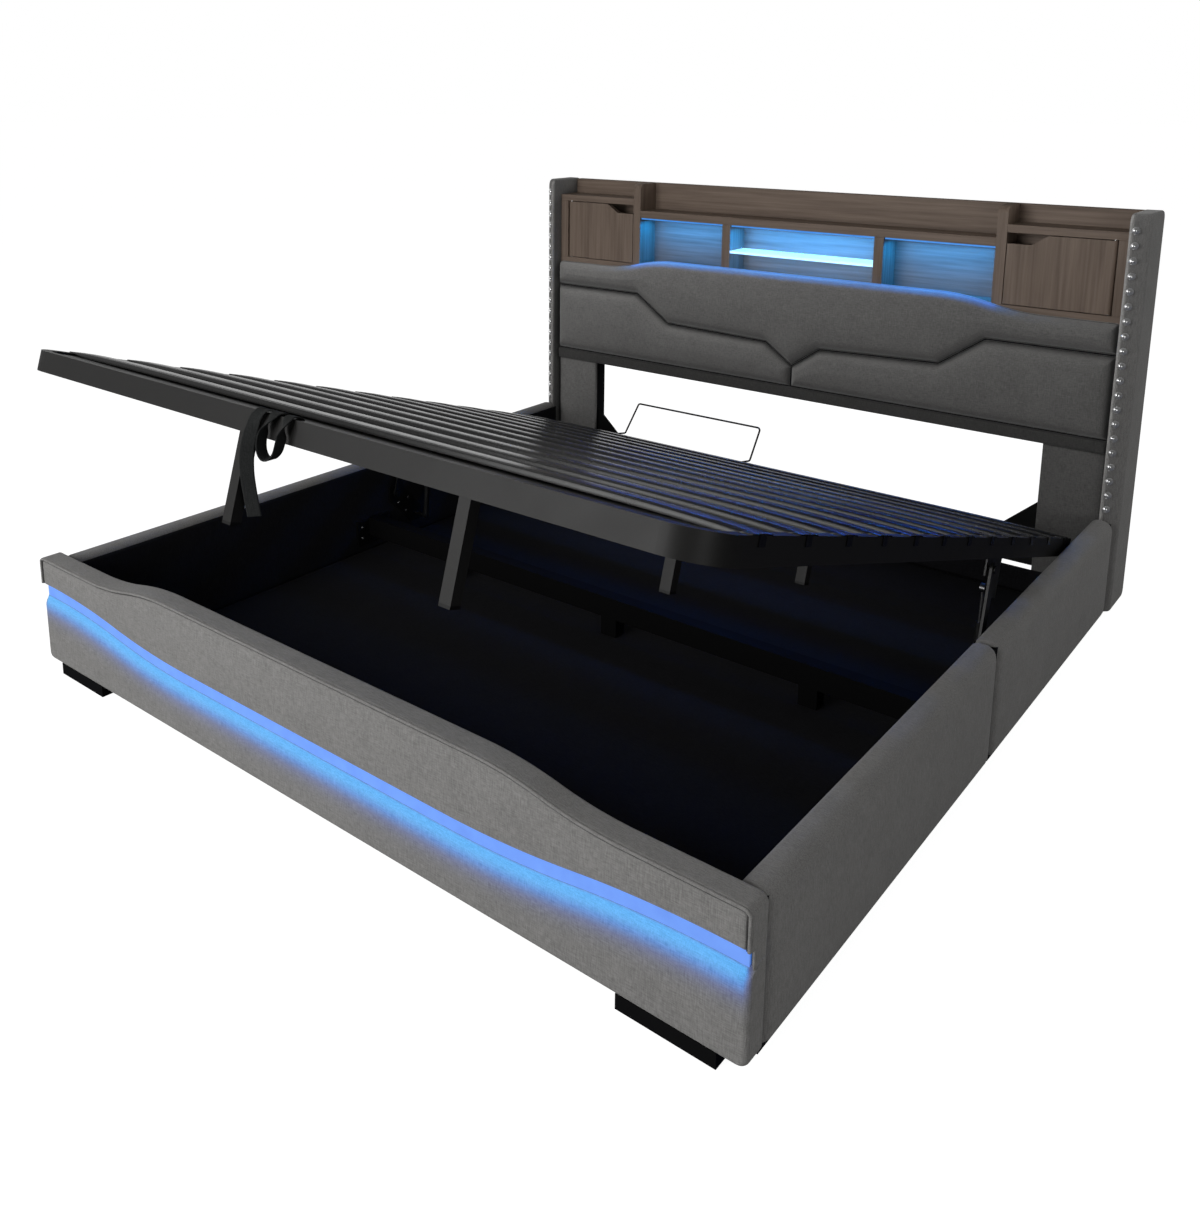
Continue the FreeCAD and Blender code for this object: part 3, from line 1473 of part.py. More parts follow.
# Every object must be up to date and every piece a valid solid before anything is written
for thing in doc.Objects:
    if "Invalid" in thing.State or "Error" in thing.State:
        raise RuntimeError("%s failed: %s" % (thing.Label, thing.State))
for piece in NODES:
    if piece.Shape.isNull() or not piece.Shape.isValid() or not piece.Shape.Solids:
        raise RuntimeError(piece.Label + " has no valid solid")

os.makedirs("parts", exist_ok=True)
for piece in NODES:
    piece.Shape.exportStep("parts/%s.step" % piece.Label)

for name in ("lift_pivot_y", "lift_pivot_z", "frame_pin_y", "frame_pin_z", "strut_foot_y", "strut_foot_z",
             "strut_length", "strut_angle", "arm_angle", "arm_length", "frame_y", "frame_z",
             "door_pin_x", "door_pin_y"):
    print(name, round(size(name), 4))
print(len(NODES), "pieces written")
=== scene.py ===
import math

import bpy
import numpy as np
from mathutils import Matrix, Vector


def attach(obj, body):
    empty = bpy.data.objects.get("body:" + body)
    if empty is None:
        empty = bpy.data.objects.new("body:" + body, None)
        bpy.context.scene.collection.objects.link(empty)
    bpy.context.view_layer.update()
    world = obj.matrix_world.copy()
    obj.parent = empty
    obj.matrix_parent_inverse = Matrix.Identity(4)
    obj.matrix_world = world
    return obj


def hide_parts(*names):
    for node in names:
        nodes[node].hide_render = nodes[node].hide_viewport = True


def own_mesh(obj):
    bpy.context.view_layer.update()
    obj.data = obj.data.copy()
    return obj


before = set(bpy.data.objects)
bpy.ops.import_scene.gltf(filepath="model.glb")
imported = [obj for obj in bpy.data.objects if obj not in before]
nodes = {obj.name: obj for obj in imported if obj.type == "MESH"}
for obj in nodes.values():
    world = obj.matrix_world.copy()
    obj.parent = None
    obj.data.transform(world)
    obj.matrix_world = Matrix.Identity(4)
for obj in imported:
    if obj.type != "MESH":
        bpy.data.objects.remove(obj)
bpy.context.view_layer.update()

# Upholstered storage bed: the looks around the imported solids, in metres.

rng = np.random.default_rng(7)
collection = bpy.context.scene.collection
SIDES = ((1, "right"), (-1, "left"))


# Materials

def add(tree, kind, values=None, **settings):
    """One shader node with its settings and the values of its sockets."""
    item = tree.nodes.new("ShaderNode" + kind)
    for key, value in settings.items():
        setattr(item, key, value)
    for key, value in (values or {}).items():
        item.inputs[key].default_value = value
    return item


def wire(tree, start, end):
    tree.links.new(start, end)


def give(tree, socket, value):
    """Fill an input with a number, a colour or another node's output."""
    if hasattr(value, "is_linked"):
        wire(tree, value, socket)
    else:
        socket.default_value = value


def new_material(name, **values):
    """A principled material, with its tree and its shader. The values name the shader's inputs."""
    material = bpy.data.materials.new(name)
    material.use_nodes = True
    tree = material.node_tree
    shader = tree.nodes["Principled BSDF"]
    for key, value in values.items():
        shader.inputs[key.replace("_", " ")].default_value = value
    return material, tree, shader


def spots(tree, scale, detail=3.0, stretch=(1, 1, 1), roughness=0.6):
    """Noise in the bed's own coordinates, stretched along an axis where stretch is small."""
    coords = add(tree, "TexCoord")
    mapping = add(tree, "Mapping", {"Scale": stretch})
    noise = add(tree, "TexNoise", {"Scale": scale, "Detail": detail, "Roughness": roughness})
    wire(tree, coords.outputs["Object"], mapping.inputs["Vector"])
    wire(tree, mapping.outputs["Vector"], noise.inputs["Vector"])
    return noise.outputs["Fac"]


def ramp(tree, source, stops):
    """A colour for each value of the source, between stops of a place and a colour."""
    item = add(tree, "ValToRGB")
    points = item.color_ramp.elements
    while len(points) < len(stops):
        points.new(0.5)
    for point, (place, colour) in zip(points, stops):
        point.position = place
        point.color = (*colour, 1)
    wire(tree, source, item.inputs["Fac"])
    return item.outputs["Color"]


def multiply(tree, first, second):
    """The product of two colours."""
    item = add(tree, "Mix", data_type="RGBA", blend_type="MULTIPLY")
    for number, value in ((0, 1.0), (6, first), (7, second)):
        give(tree, item.inputs[number], value)
    return item.outputs[2]


def maths(tree, how, first, second=0.0):
    item = add(tree, "Math", operation=how)
    for socket, value in zip(item.inputs, (first, second)):
        give(tree, socket, value)
    return item.outputs[0]


def clamped(value):
    """The same output, held between 0 and 1."""
    value.node.use_clamp = True
    return value


def bump(tree, shader, height, strength, distance):
    item = add(tree, "Bump", {"Strength": strength, "Distance": distance})
    wire(tree, height, item.inputs["Height"])
    wire(tree, item.outputs["Normal"], shader.inputs["Normal"])


def emit(tree, shader, colour, strength=1.0):
    wire(tree, colour, shader.inputs["Emission Color"])
    shader.inputs["Emission Strength"].default_value = strength


UPRIGHT_THREADS, LEVEL_THREADS = (620, 620, 60), (70, 620, 620)
MOTTLE_SHARE = 0.12
CREASE_REACH = 0.035
THREAD_HEIGHT = 0.0012
NEAR_LAMP = (0.40, 0.72, 0.90)


def fabric(name, dark, light, glow=None, sheen=0.15, gloss=0.2):
    """Woven upholstery: slubby threads both ways, soft mottling, painted shade in creases and gaps. glow
    gives the colours of the painted light that it catches from a strip nearby, over the mesh attribute of
    that name."""
    material, tree, shader = new_material(name, Roughness=0.92, Sheen_Weight=sheen, Sheen_Roughness=0.5,
                                          Specular_IOR_Level=gloss)
    upright = spots(tree, 1.0, 2.0, UPRIGHT_THREADS)
    level = spots(tree, 1.0, 2.0, LEVEL_THREADS)
    threads = maths(tree, "MULTIPLY", maths(tree, "ADD", upright, level), 0.5)
    mottle = spots(tree, 16.0, 4.0)
    blend = maths(tree, "ADD", maths(tree, "MULTIPLY", threads, 1 - MOTTLE_SHARE),
                  maths(tree, "MULTIPLY", mottle, MOTTLE_SHARE))
    colour = ramp(tree, blend, [(0.34, dark), (0.66, light)])
    # Painted shade: ambient occlusion darkens the weave in creases, gaps and recesses.
    painted_crease_shade = add(tree, "AmbientOcclusion", {"Distance": CREASE_REACH}, samples=6)
    shade = ramp(tree, painted_crease_shade.outputs["AO"], [(0.15, (0.30,) * 3), (0.75, (1,) * 3)])
    colour = multiply(tree, colour, shade)
    bump(tree, shader, threads, 0.35, THREAD_HEIGHT)
    if glow:
        near = add(tree, "Attribute", attribute_name="glow").outputs["Fac"]
        colour = multiply(tree, colour, ramp(tree, near, [(0.0, (1, 1, 1)), (1.0, NEAR_LAMP)]))
        between_threads = ramp(tree, threads, [(0.3, (0.75,) * 3), (0.7, (1,) * 3)])
        emit(tree, shader, multiply(tree, ramp(tree, near, glow), between_threads))
    wire(tree, colour, shader.inputs["Base Color"])
    return material


WALNUT = [(0.30, (0.100, 0.070, 0.052)), (0.46, (0.172, 0.126, 0.096)),
          (0.58, (0.218, 0.163, 0.127)), (0.74, (0.275, 0.212, 0.168))]


def wood(name, stretch, ring_stretch):
    """Grey brown walnut foil with its grain along one axis."""
    material, tree, shader = new_material(name, Roughness=0.55, Specular_IOR_Level=0.3)
    fine = spots(tree, 1.0, 5.0, stretch, 0.65)
    broad = spots(tree, 1.0, 3.0, ring_stretch, 0.5)
    blend = maths(tree, "ADD", maths(tree, "MULTIPLY", fine, 0.6), maths(tree, "MULTIPLY", broad, 0.4))
    wire(tree, ramp(tree, blend, WALNUT), shader.inputs["Base Color"])
    bump(tree, shader, fine, 0.25, 0.0006)
    return material


def scaled(colour, factor):
    """A darker or lighter colour."""
    return tuple(factor * part for part in colour)


def coated_metal(name, colour, roughness, speck=0.25, gloss=0.5):
    """Powder coated steel, or black plastic: a fine grain, with a roughness that drifts a little."""
    material, tree, shader = new_material(name, Metallic=0.0, Specular_IOR_Level=gloss)
    grain = spots(tree, 900.0, 2.0)
    cloudy = spots(tree, 9.0, 3.0)
    wire(tree, ramp(tree, grain, [(0.3, scaled(colour, 0.8)), (0.7, scaled(colour, 1.25))]),
         shader.inputs["Base Color"])
    rough = add(tree, "MapRange", {"To Min": roughness - 0.05, "To Max": roughness + 0.07})
    wire(tree, cloudy, rough.inputs["Value"])
    wire(tree, rough.outputs["Result"], shader.inputs["Roughness"])
    bump(tree, shader, grain, speck, 0.0003)
    return material


def speckled(name, noise, low, high, **values):
    """A finish whose colour varies between two with a noise."""
    material, tree, shader = new_material(name, **values)
    wire(tree, ramp(tree, spots(tree, *noise), [(0.3, low), (0.7, high)]), shader.inputs["Base Color"])
    return material, tree, shader


GREY_DARK = (0.138, 0.135, 0.131)
GREY_LIGHT = (0.282, 0.277, 0.269)
BLUE_STEPS = [(0.0, (0, 0, 0)), (0.20, (0.012, 0.03, 0.17)), (0.5, (0.015, 0.15, 0.55)),
              (0.85, (0.055, 0.36, 0.86)), (1.0, (0.055, 0.36, 0.86))]
VIOLET_STEPS = [(0.0, (0, 0, 0)), (0.5, (0.012, 0.022, 0.075)), (1.0, (0.05, 0.15, 0.50))]

grey = fabric("grey_weave", GREY_DARK, GREY_LIGHT)
# The headboard border: the same weave at a third, painted shade from the pads that stand over it.
grey_painted_shade = fabric("grey_weave_painted_shade", scaled(GREY_DARK, 0.32), scaled(GREY_LIGHT, 0.32))
grey_lit = fabric("grey_weave_lit", GREY_DARK, GREY_LIGHT, BLUE_STEPS)
# The headboard's weave is the footboard's at two thirds: painted shade for the light that falls off towards
# the headboard.
HEAD_SHADE_DARK, HEAD_SHADE_LIGHT = scaled(GREY_DARK, 0.67), scaled(GREY_LIGHT, 0.67)
grey_rim = fabric("grey_weave_rim", HEAD_SHADE_DARK, HEAD_SHADE_LIGHT, VIOLET_STEPS, sheen=0.35)
grey_head_shade = fabric("grey_weave_head_shade", HEAD_SHADE_DARK, HEAD_SHADE_LIGHT, sheen=0.35)
# The wings' inner front roll: the weave at 1.65, a painted highlight where light catches it.
grey_roll_highlight = fabric("grey_weave_roll_highlight", scaled(GREY_DARK, 1.65), scaled(GREY_LIGHT, 1.65))
# Near black weave for the seam beside the welt: its stitching, and painted shade in its groove.
seam_shade = fabric("grey_seam_shade", (0.030, 0.029, 0.028), (0.055, 0.053, 0.051))
lining = fabric("black_lining", (0.0055, 0.0055, 0.0065), (0.0155, 0.0155, 0.018), sheen=0.012, gloss=0.08)
webbing_black = fabric("black_webbing", (0.006, 0.007, 0.007), (0.020, 0.021, 0.021), sheen=0.03, gloss=0.2)
wood_level = wood("walnut_level", (3.0, 90, 90), (0.8, 14, 14))
wood_upright = wood("walnut_upright", (90, 90, 3.0), (14, 14, 0.8))
steel_black = coated_metal("black_steel", (0.0140, 0.0136, 0.0131), 0.46, gloss=0.20)
steel_slat = coated_metal("black_slat_steel", (0.007, 0.0069, 0.0068), 0.25, speck=0.05, gloss=0.34)
steel_dark = coated_metal("dark_steel", (0.004, 0.004, 0.004), 0.42, gloss=0.35)
steel_matt = coated_metal("matt_steel", (0.0035, 0.0035, 0.0037), 0.75, gloss=0.06)
plastic_black = coated_metal("black_plastic", (0.0035, 0.0035, 0.0035), 0.5, gloss=0.2)


# Mesh helpers

def make(name, points, faces, material, body="bed_base", smooth=True, slot=None, replaced=(), fill=None):
    """A piece that rides a body; it hides the solids that it replaces."""
    mesh = bpy.data.meshes.new(name)
    mesh.from_pydata([tuple(point) for point in points], [], [tuple(face) for face in faces])
    mesh.validate()
    mesh.materials.append(material)
    if smooth:
        mesh.shade_smooth()
    thing = bpy.data.objects.new(name, mesh)
    collection.objects.link(thing)
    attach(thing, body)
    if replaced:
        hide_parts(*replaced)
    return thing


def outline_distance(points, line):
    """The shortest distance from each point to a line of points, in the plane."""
    best = np.full(len(points), 1e9)
    for start, end in zip(line[:-1], line[1:]):
        way = end - start
        size = float(way @ way)
        if size < 1e-14:
            continue
        share = np.clip(((points - start) @ way) / size, 0, 1)
        best = np.minimum(best, np.hypot(*(points - start - share[:, None] * way).T))
    return best


# Stations from an edge inwards. Where a pad is narrower than NARROW times the last, they draw together.
EDGE_STEPS = np.array([0, 0.25, 0.9, 2, 3.2, 4.4, 5.6, 6.6, 7.5, 8.4, 9.6, 11.5, 15, 20, 27]) / 1000
NARROW = 2.6
# The power by which the falls of two rounded edges blend at a corner.
BLEND = 4


def edge_spread(low, high, pitch):
    """Stations from low to high, close together near both ends."""
    inner = np.arange(low + EDGE_STEPS[-1] + pitch, high - EDGE_STEPS[-1] - pitch / 2, pitch)
    return np.concatenate([low + EDGE_STEPS, inner, (high - EDGE_STEPS)[::-1]])


def drop(distance, radius):
    """How far a rounded edge has fallen at a distance from the outline."""
    inside = np.clip(radius - distance, 0, radius)
    return radius - np.sqrt(np.maximum(radius ** 2 - inside ** 2, 0))


def grid_faces(count, deep):
    """The faces of a grid of points and the loop of points around it."""
    index = np.arange(count * deep).reshape(count, deep)
    quads = np.stack([index[:-1, :-1], index[1:, :-1], index[1:, 1:], index[:-1, 1:]], -1).reshape(-1, 4)
    rim = np.concatenate([index[:, 0], index[-1, 1:], index[-2::-1, -1], index[0, -2:0:-1]])
    return quads, rim


def band(upper, lower):
    """The faces between two closed loops of points."""
    return np.stack([upper, lower, np.roll(lower, -1), np.roll(upper, -1)], -1)


def pad(name, along, low, high, rows, thick, front_radii, back_radius, place, material, crown=0.0,
        crown_reach=0.06, wall_rings=3, shape=None, attribute=None, **settings):
    """A closed upholstered form over a flat outline.
    along are the stations of its long axis, low and high give its outline across them. The front stands
    thick above the back, with its own edge radius at each of the four sides: low, high, first, last.
    It rises by crown towards its middle. shape adds to the front, and attribute fills the glow."""
    base, top = low(along), high(along)
    share = np.linspace(0, 1, rows - 2 * len(EDGE_STEPS) + 2)[1:-1]
    room = (top - base)[:, None]
    fit = np.minimum(1.0, room / (NARROW * EDGE_STEPS[-1]))
    first = base[:, None] + EDGE_STEPS[None, :] * fit
    last = top[:, None] - EDGE_STEPS[None, ::-1] * fit
    middle = first[:, -1:] + (last[:, :1] - first[:, -1:]) * share[None, :]
    across = np.concatenate([first, middle, last], axis=1)
    count, deep = across.shape
    grid = np.stack([np.repeat(along[:, None], deep, 1), across], axis=2).reshape(-1, 2)
    sides = [np.stack([along, base], 1), np.stack([along, top], 1),
             np.array([[along[0], base[0]], [along[0], top[0]]]),
             np.array([[along[-1], base[-1]], [along[-1], top[-1]]])]
    gaps = [outline_distance(grid, line) for line in sides]
    fall = sum(drop(gap, radius) ** BLEND for gap, radius in zip(gaps, front_radii)) ** (1 / BLEND)
    fall = np.minimum(fall, max(front_radii))
    nearest = np.min(gaps, axis=0)
    rise = crown * (1 - np.exp(-nearest / crown_reach))
    front = thick - crown - fall + rise
    behind = drop(nearest, back_radius)
    if shape is not None:
        front = front + shape(grid, gaps)
    quads, rim = grid_faces(count, deep)
    points, faces = [place(grid[:, 0], grid[:, 1], front)], [quads]
    total = count * deep
    previous = rim
    for ring in range(1, wall_rings + 1):
        share = ring / (wall_rings + 1)
        height = front[rim] * (1 - share) + behind[rim] * share
        points.append(place(grid[rim, 0], grid[rim, 1], height))
        current = np.arange(total, total + len(rim))
        total += len(rim)
        faces.append(band(previous, current))
        previous = current
    points.append(place(grid[:, 0], grid[:, 1], behind))
    faces.append(np.roll(quads[:, ::-1], 1, axis=1) + total)
    faces.append(band(previous, rim + total))
    points = np.concatenate(points)
    thing = make(name, points, np.concatenate(faces), material, **settings)
    if attribute is not None:
        values = thing.data.attributes.new("glow", "FLOAT", "POINT")
        values.data.foreach_set("value", attribute(points).astype(np.float32))
    return thing


def skin(faces, first, rows, size, capped=True):
    """Add the faces between rows of points in rings, numbered from first, and the two end caps."""
    for row in range(rows - 1):
        for step in range(size):
            a, b = first + row * size + step, first + row * size + (step + 1) % size
            faces.append((a, b, b + size, a + size))
    faces.append(tuple(range(first, first + size))[::-1])
    if capped:
        last = first + (rows - 1) * size
        faces.append(tuple(range(last, last + size)))


def tube(name, path, radius, material, segments=10, **settings):
    """A round bar or welt along a path of points."""
    path = np.asarray(path, float)
    ways = np.gradient(path, axis=0)
    ways /= np.linalg.norm(ways, axis=1)[:, None]
    side = np.cross(ways[0], (0, 0, 1) if abs(ways[0][2]) < 0.9 else (0, 1, 0))
    side /= np.linalg.norm(side)
    points, faces = [], []
    for spot, way in zip(path, ways):
        side = side - way * (side @ way)
        side /= np.linalg.norm(side)
        other = np.cross(way, side)
        for turn in np.arange(segments) * 2 * math.pi / segments:
            points.append(spot + radius * (math.cos(turn) * side + math.sin(turn) * other))
    skin(faces, 0, len(path), segments)
    make(name, points, faces, material, **settings)


def straight(level):
    """A level line over the long axis."""
    return lambda x: np.full_like(x, level)


def wave(end, flat, level, rise):
    """A level line raised over its middle, with two equal arcs on each side."""
    run = end - flat
    angle = 2 * math.atan2(abs(rise), run)
    radius = (run ** 2 + rise ** 2) / (4 * abs(rise))

    def height(x):
        away = np.clip((end - np.abs(x)) / run, 0, 1) * run
        first = radius - np.sqrt(np.maximum(radius ** 2 - np.minimum(away, run / 2) ** 2, 0))
        second = radius - np.sqrt(np.maximum(radius ** 2 - np.minimum(run - away, run / 2) ** 2, 0))
        share = np.where(away <= run / 2, first, abs(rise) - second)
        return level + math.copysign(1, rise) * share
    return height


def rounded(line, start, end, radius, up):
    """The same line with its two ends drawn round towards the middle of the piece."""
    def height(x):
        past = np.maximum(np.clip(start + radius - x, 0, radius), np.clip(x - (end - radius), 0, radius))
        return line(x) + up * (radius - np.sqrt(radius ** 2 - past ** 2))
    return height


# Footboard

FOOT_FRONT, FOOT_BACK = -1.100, -1.045
FOOT_HALF = 1.035
FOOT_BASE, FOOT_TOP = 0.030, 0.313
FOOT_THICK = FOOT_BACK - FOOT_FRONT
UPPER_CORNER = 0.016
GROOVE_IN, GROOVE_WIDTH, GROOVE_DEPTH = 0.0078, 0.0020, 0.0040
# The lower cushion stands this much higher at the channel than its solid, and its rolled edge is lit.
LIFT = 0.012
SHINE_REACH, SHINE_BACK = 0.044, -1.0835
# The footboard's top and the upper and lower edge of its light channel.
top_line = wave(0.800, 0.470, FOOT_TOP, 0.036)
light_high = wave(1.000, 0.400, 0.239, -0.044)
light_low = wave(1.000, 0.400, 0.202, -0.044)


def xz_place(back):
    """Pads that face the foot end: long axis X, outline in X and Z, thickness towards -Y."""
    def place(x, z, stand):
        return np.stack([x, back - stand, z], 1)
    return place


def upper_shape(grid, gaps):
    """A sewn groove beside the welt, along the top and the two ends."""
    near = np.minimum(np.minimum(gaps[1], gaps[2]), gaps[3])
    return -GROOVE_DEPTH * np.exp(-((near - GROOVE_IN) / GROOVE_WIDTH) ** 2)


def upper_glow(p):
    """The underside above the channel is lit, but not its front and its ends."""
    low = np.clip(1 - (p[:, 2] - light_high(p[:, 0])) / 0.005, 0, 1) ** 1.5
    inside = np.clip((p[:, 1] - FOOT_FRONT - 0.003) / 0.004, 0, 1)
    return low * inside * np.clip((FOOT_HALF - 0.006 - np.abs(p[:, 0])) / 0.003, 0, 1)


foot_along = edge_spread(-FOOT_HALF, FOOT_HALF, 0.009)
upper_outline = rounded(top_line, -FOOT_HALF, FOOT_HALF, UPPER_CORNER, -1)
pad("footboard_upper_cushion", foot_along, light_high, upper_outline, 44, FOOT_THICK,
    (0.004, 0.004, 0.004, 0.004), 0.005, xz_place(FOOT_BACK), grey_lit, crown=0.004, shape=upper_shape,
    wall_rings=6, attribute=upper_glow, slot="grey_fabric", replaced=["footboard_upper_pad"], fill=0.8)


def lower_top(x):
    return light_low(x) + LIFT


def lower_glow(p):
    """Light from the channel falls on the rolled top of the lower cushion and fades below it."""
    down = lower_top(p[:, 0]) - p[:, 2]
    shine = np.exp(-(np.clip(down, 0, 1) / SHINE_REACH) ** 2.1)
    corner = np.clip((SHINE_BACK - p[:, 1]) / 0.006, 0.4, 1)
    return shine * corner * np.clip((FOOT_HALF - 0.0005 - np.abs(p[:, 0])) / 0.012, 0, 1)


pad("footboard_lower_cushion", foot_along, rounded(straight(FOOT_BASE), -FOOT_HALF, FOOT_HALF, 0.020, 1),
    rounded(lower_top, -FOOT_HALF, FOOT_HALF, 0.010, -1), 60, FOOT_THICK, (0.012, 0.030, 0.012, 0.012), 0.005,
    xz_place(FOOT_BACK), grey_lit, crown=0.004, wall_rings=5, attribute=lower_glow,
    slot="grey_fabric", replaced=["footboard_lower_pad"], fill=0.8)

WELT_IN, WELT_RADIUS = 0.0032, 0.0032
WELT_Y, WELT_END = FOOT_FRONT + 0.0030, 0.241
SEAM_IN, SEAM_RADIUS = 0.0046, 0.0010
welt_x = np.linspace(-FOOT_HALF + WELT_IN, FOOT_HALF - WELT_IN, 260)
welt_top = np.stack([welt_x, np.full(260, WELT_Y), upper_outline(welt_x) - WELT_IN], 1)


def welt_side(side):
    """The welt's way down one end of the footboard."""
    z = np.linspace(FOOT_TOP - UPPER_CORNER - WELT_IN, WELT_END, 20)
    return np.stack([np.full(20, side * (FOOT_HALF - WELT_IN)), np.full(20, WELT_Y), z], 1)


def seam_step(x, z):
    """From the welt to the seam beside it: inwards at the two ends, and down along the top."""
    at_end = z < FOOT_TOP - 0.022
    return (-np.sign(x) * SEAM_IN if at_end else 0.0, 0.0006, 0.0 if at_end else -SEAM_IN)


welt_path = np.concatenate([welt_side(-1)[::-1], welt_top, welt_side(1)])
tube("footboard_welt", welt_path, WELT_RADIUS, grey, 8, slot="grey_fabric")
# A thin dark tube beside the welt: the stitched seam, and painted shade in the groove there.
seam_path = welt_path + np.array([seam_step(x, z) for x, _, z in welt_path])
tube("footboard_seam", seam_path, SEAM_RADIUS, seam_shade, 6, slot="grey_fabric")


def end_wrap(side):
    """Fabric drawn over the end of the light channel, between the two cushions."""
    low, high = FOOT_HALF - 0.0075, FOOT_HALF - 0.0012
    ends = (low, high) if side > 0 else (-high, -low)
    stations = np.linspace(*ends, 7)
    pad("footboard_%s_wrap" % ("right" if side > 0 else "left"), stations, lambda x: light_low(x) - 0.020,
        lambda x: light_high(x) + 0.010, 34, 0.037, (0.002,) * 4, 0.002, xz_place(FOOT_BACK), grey, fill=0.3,
        wall_rings=4, slot="grey_fabric")


end_wrap(1)
end_wrap(-1)


# Side rails

def x_place(side, inner):
    """Pads along a side: long axis Y, outline in Y and Z, thickness outwards along X."""
    def place(y, z, stand):
        return np.stack([side * (inner + stand), y, z], 1)
    return place


RAIL_BASE, RAIL_TOP = 0.020, 0.303
INNER_HALF, OUTER_HALF = 0.975, 1.040
RAIL_PARTS = (("front", -1.0400, -0.0008), ("rear", 0.0008, 0.9685))
for side, name in SIDES:
    for part, start, end in RAIL_PARTS:
        low = rounded(straight(RAIL_BASE), start, end, 0.026, 1)
        high = rounded(straight(RAIL_TOP), start, end, 0.016, -1)
        pad("%s_%s_rail_cushion" % (name, part), edge_spread(start, end, 0.011), low, high, 44,
            OUTER_HALF - INNER_HALF, (0.022, 0.028, 0.024, 0.024), 0.018, x_place(side, INNER_HALF), grey,
            crown=0.009, wall_rings=6, slot="grey_fabric", replaced=["%s_%s_rail_cover" % (name, part)],
            fill=0.75)


# Headboard upholstery

PANEL_BACK, PANEL_HALF = 1.010, 0.984
panel_top = wave(0.785, 0.470, 0.856, 0.040)
# The channel between the upper and the lower pads, from the middle outwards.
ZIG = np.array([(0, 0.590), (0.098, 0.659), (0.490, 0.672), (0.625, 0.766), (0.984, 0.766)])


def channel(x, offset):
    return np.interp(np.abs(x), ZIG[:, 0], ZIG[:, 1]) + offset


def rim_glow(p):
    """The lit niches tint the panel's top edge between the cabinets."""
    down = panel_top(p[:, 0]) - p[:, 2]
    return np.clip(1 - down / 0.020, 0, 1) ** 1.3 * np.clip((0.72 - np.abs(p[:, 0])) / 0.10, 0, 1)


GAP = 0.0024
PUFFY = dict(crown=0.015, crown_reach=0.040, wall_rings=2, slot="grey_fabric", fill=0.85)
FLAT = dict(crown=0.001, wall_rings=2, slot="grey_fabric", fill=0.6)
PUFFY_THICK, PAD_BACK_RADIUS = 0.031, 0.001
BORDER_LOW, BORDER_HIGH, LOWER_BASE = 0.481, 0.5185, 0.5215
LEG_INNER, LEG_BASE, LEG_TOP, LEG_BACK = 0.812, 0.020, 0.4800, 1.022

bends = ZIG[:-1, 0]
panel_along = np.unique(np.concatenate([edge_spread(-PANEL_HALF, PANEL_HALF, 0.010), bends, -bends]))
pad("headboard_upper_cushion", panel_along, lambda x: channel(x, GAP),
    rounded(panel_top, -PANEL_HALF, PANEL_HALF, 0.010, -1), 52, PUFFY_THICK, (0.030, 0.024, 0.022, 0.022),
    PAD_BACK_RADIUS, xz_place(PANEL_BACK), grey_rim, attribute=rim_glow, replaced=["headboard_upper_pad"],
    **PUFFY)
for side, name in SIDES:
    ends = (GAP, PANEL_HALF) if side > 0 else (-PANEL_HALF, -GAP)
    pad("headboard_%s_lower_cushion" % name, edge_spread(*ends, 0.010), straight(LOWER_BASE),
        lambda x: channel(x, -GAP), 44, PUFFY_THICK, (0.026, 0.030, 0.026, 0.026), PAD_BACK_RADIUS,
        xz_place(PANEL_BACK), grey_head_shade, replaced=["headboard_%s_lower_pad" % name], **PUFFY)
pad("headboard_border_cushion", edge_spread(-PANEL_HALF, PANEL_HALF, 0.012), straight(BORDER_LOW),
    straight(BORDER_HIGH), 34, 0.014, (0.007, 0.006, 0.006, 0.006), PAD_BACK_RADIUS, xz_place(PANEL_BACK),
    grey_painted_shade, replaced=["headboard_border_pad"], **FLAT)
# The right leg's cushion takes the headboard's painted shade; the left one keeps the plain weave.
for side, name, weave in ((1, "right", grey_head_shade), (-1, "left", grey)):
    ends = (LEG_INNER, PANEL_HALF) if side > 0 else (-PANEL_HALF, -LEG_INNER)
    leg = pad("headboard_%s_leg_cushion" % name, edge_spread(*ends, 0.010), straight(LEG_BASE),
              straight(LEG_TOP), 60, 0.013, (0.005, 0.007, 0.006, 0.006), PAD_BACK_RADIUS,
              xz_place(LEG_BACK), weave, **FLAT)
    if side > 0:
        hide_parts("headboard_leg_pads")


# Headboard wings

WING_INNER, WING_FRONT, WING_BACK = 0.990, 0.970, 1.150
WING_BASE, WING_TOP = 0.020, 1.165
WING_THICK, WING_CORNER = 0.050, 0.024
# A wing's front has a narrow flat roll inside, and runs back by NOSE from there to its outer side.
NOSE = 0.037
ROLL_WIDTH = 0.009
NOSE_RUN = WING_THICK - ROLL_WIDTH
NOSE_LENGTH = math.hypot(NOSE_RUN, NOSE)
STUD_PITCH, STUD_FIRST, STUD_COUNT = 0.0416, 1.120, 20
STUD_REACH = 0.0165
STUD_Y = WING_FRONT + NOSE * (STUD_REACH - ROLL_WIDTH) / NOSE_RUN
STUD_HEIGHTS = STUD_FIRST - STUD_PITCH * np.arange(STUD_COUNT)


def wing_place(side):
    """Pads of a wing: long axis Z, outline in Z and Y, thickness outwards along X."""
    def place(z, y, stand):
        share = (WING_BACK - y) / (WING_BACK - WING_FRONT)
        turned = y + NOSE * np.clip((stand - ROLL_WIDTH) / NOSE_RUN, 0, 1) * share
        return np.stack([side * (WING_INNER + stand), turned, z], 1)
    return place


def past_top(z):
    """How far a height reaches into the rounded top of the wing."""
    return np.clip(z - (WING_TOP - WING_CORNER), 0, WING_CORNER)


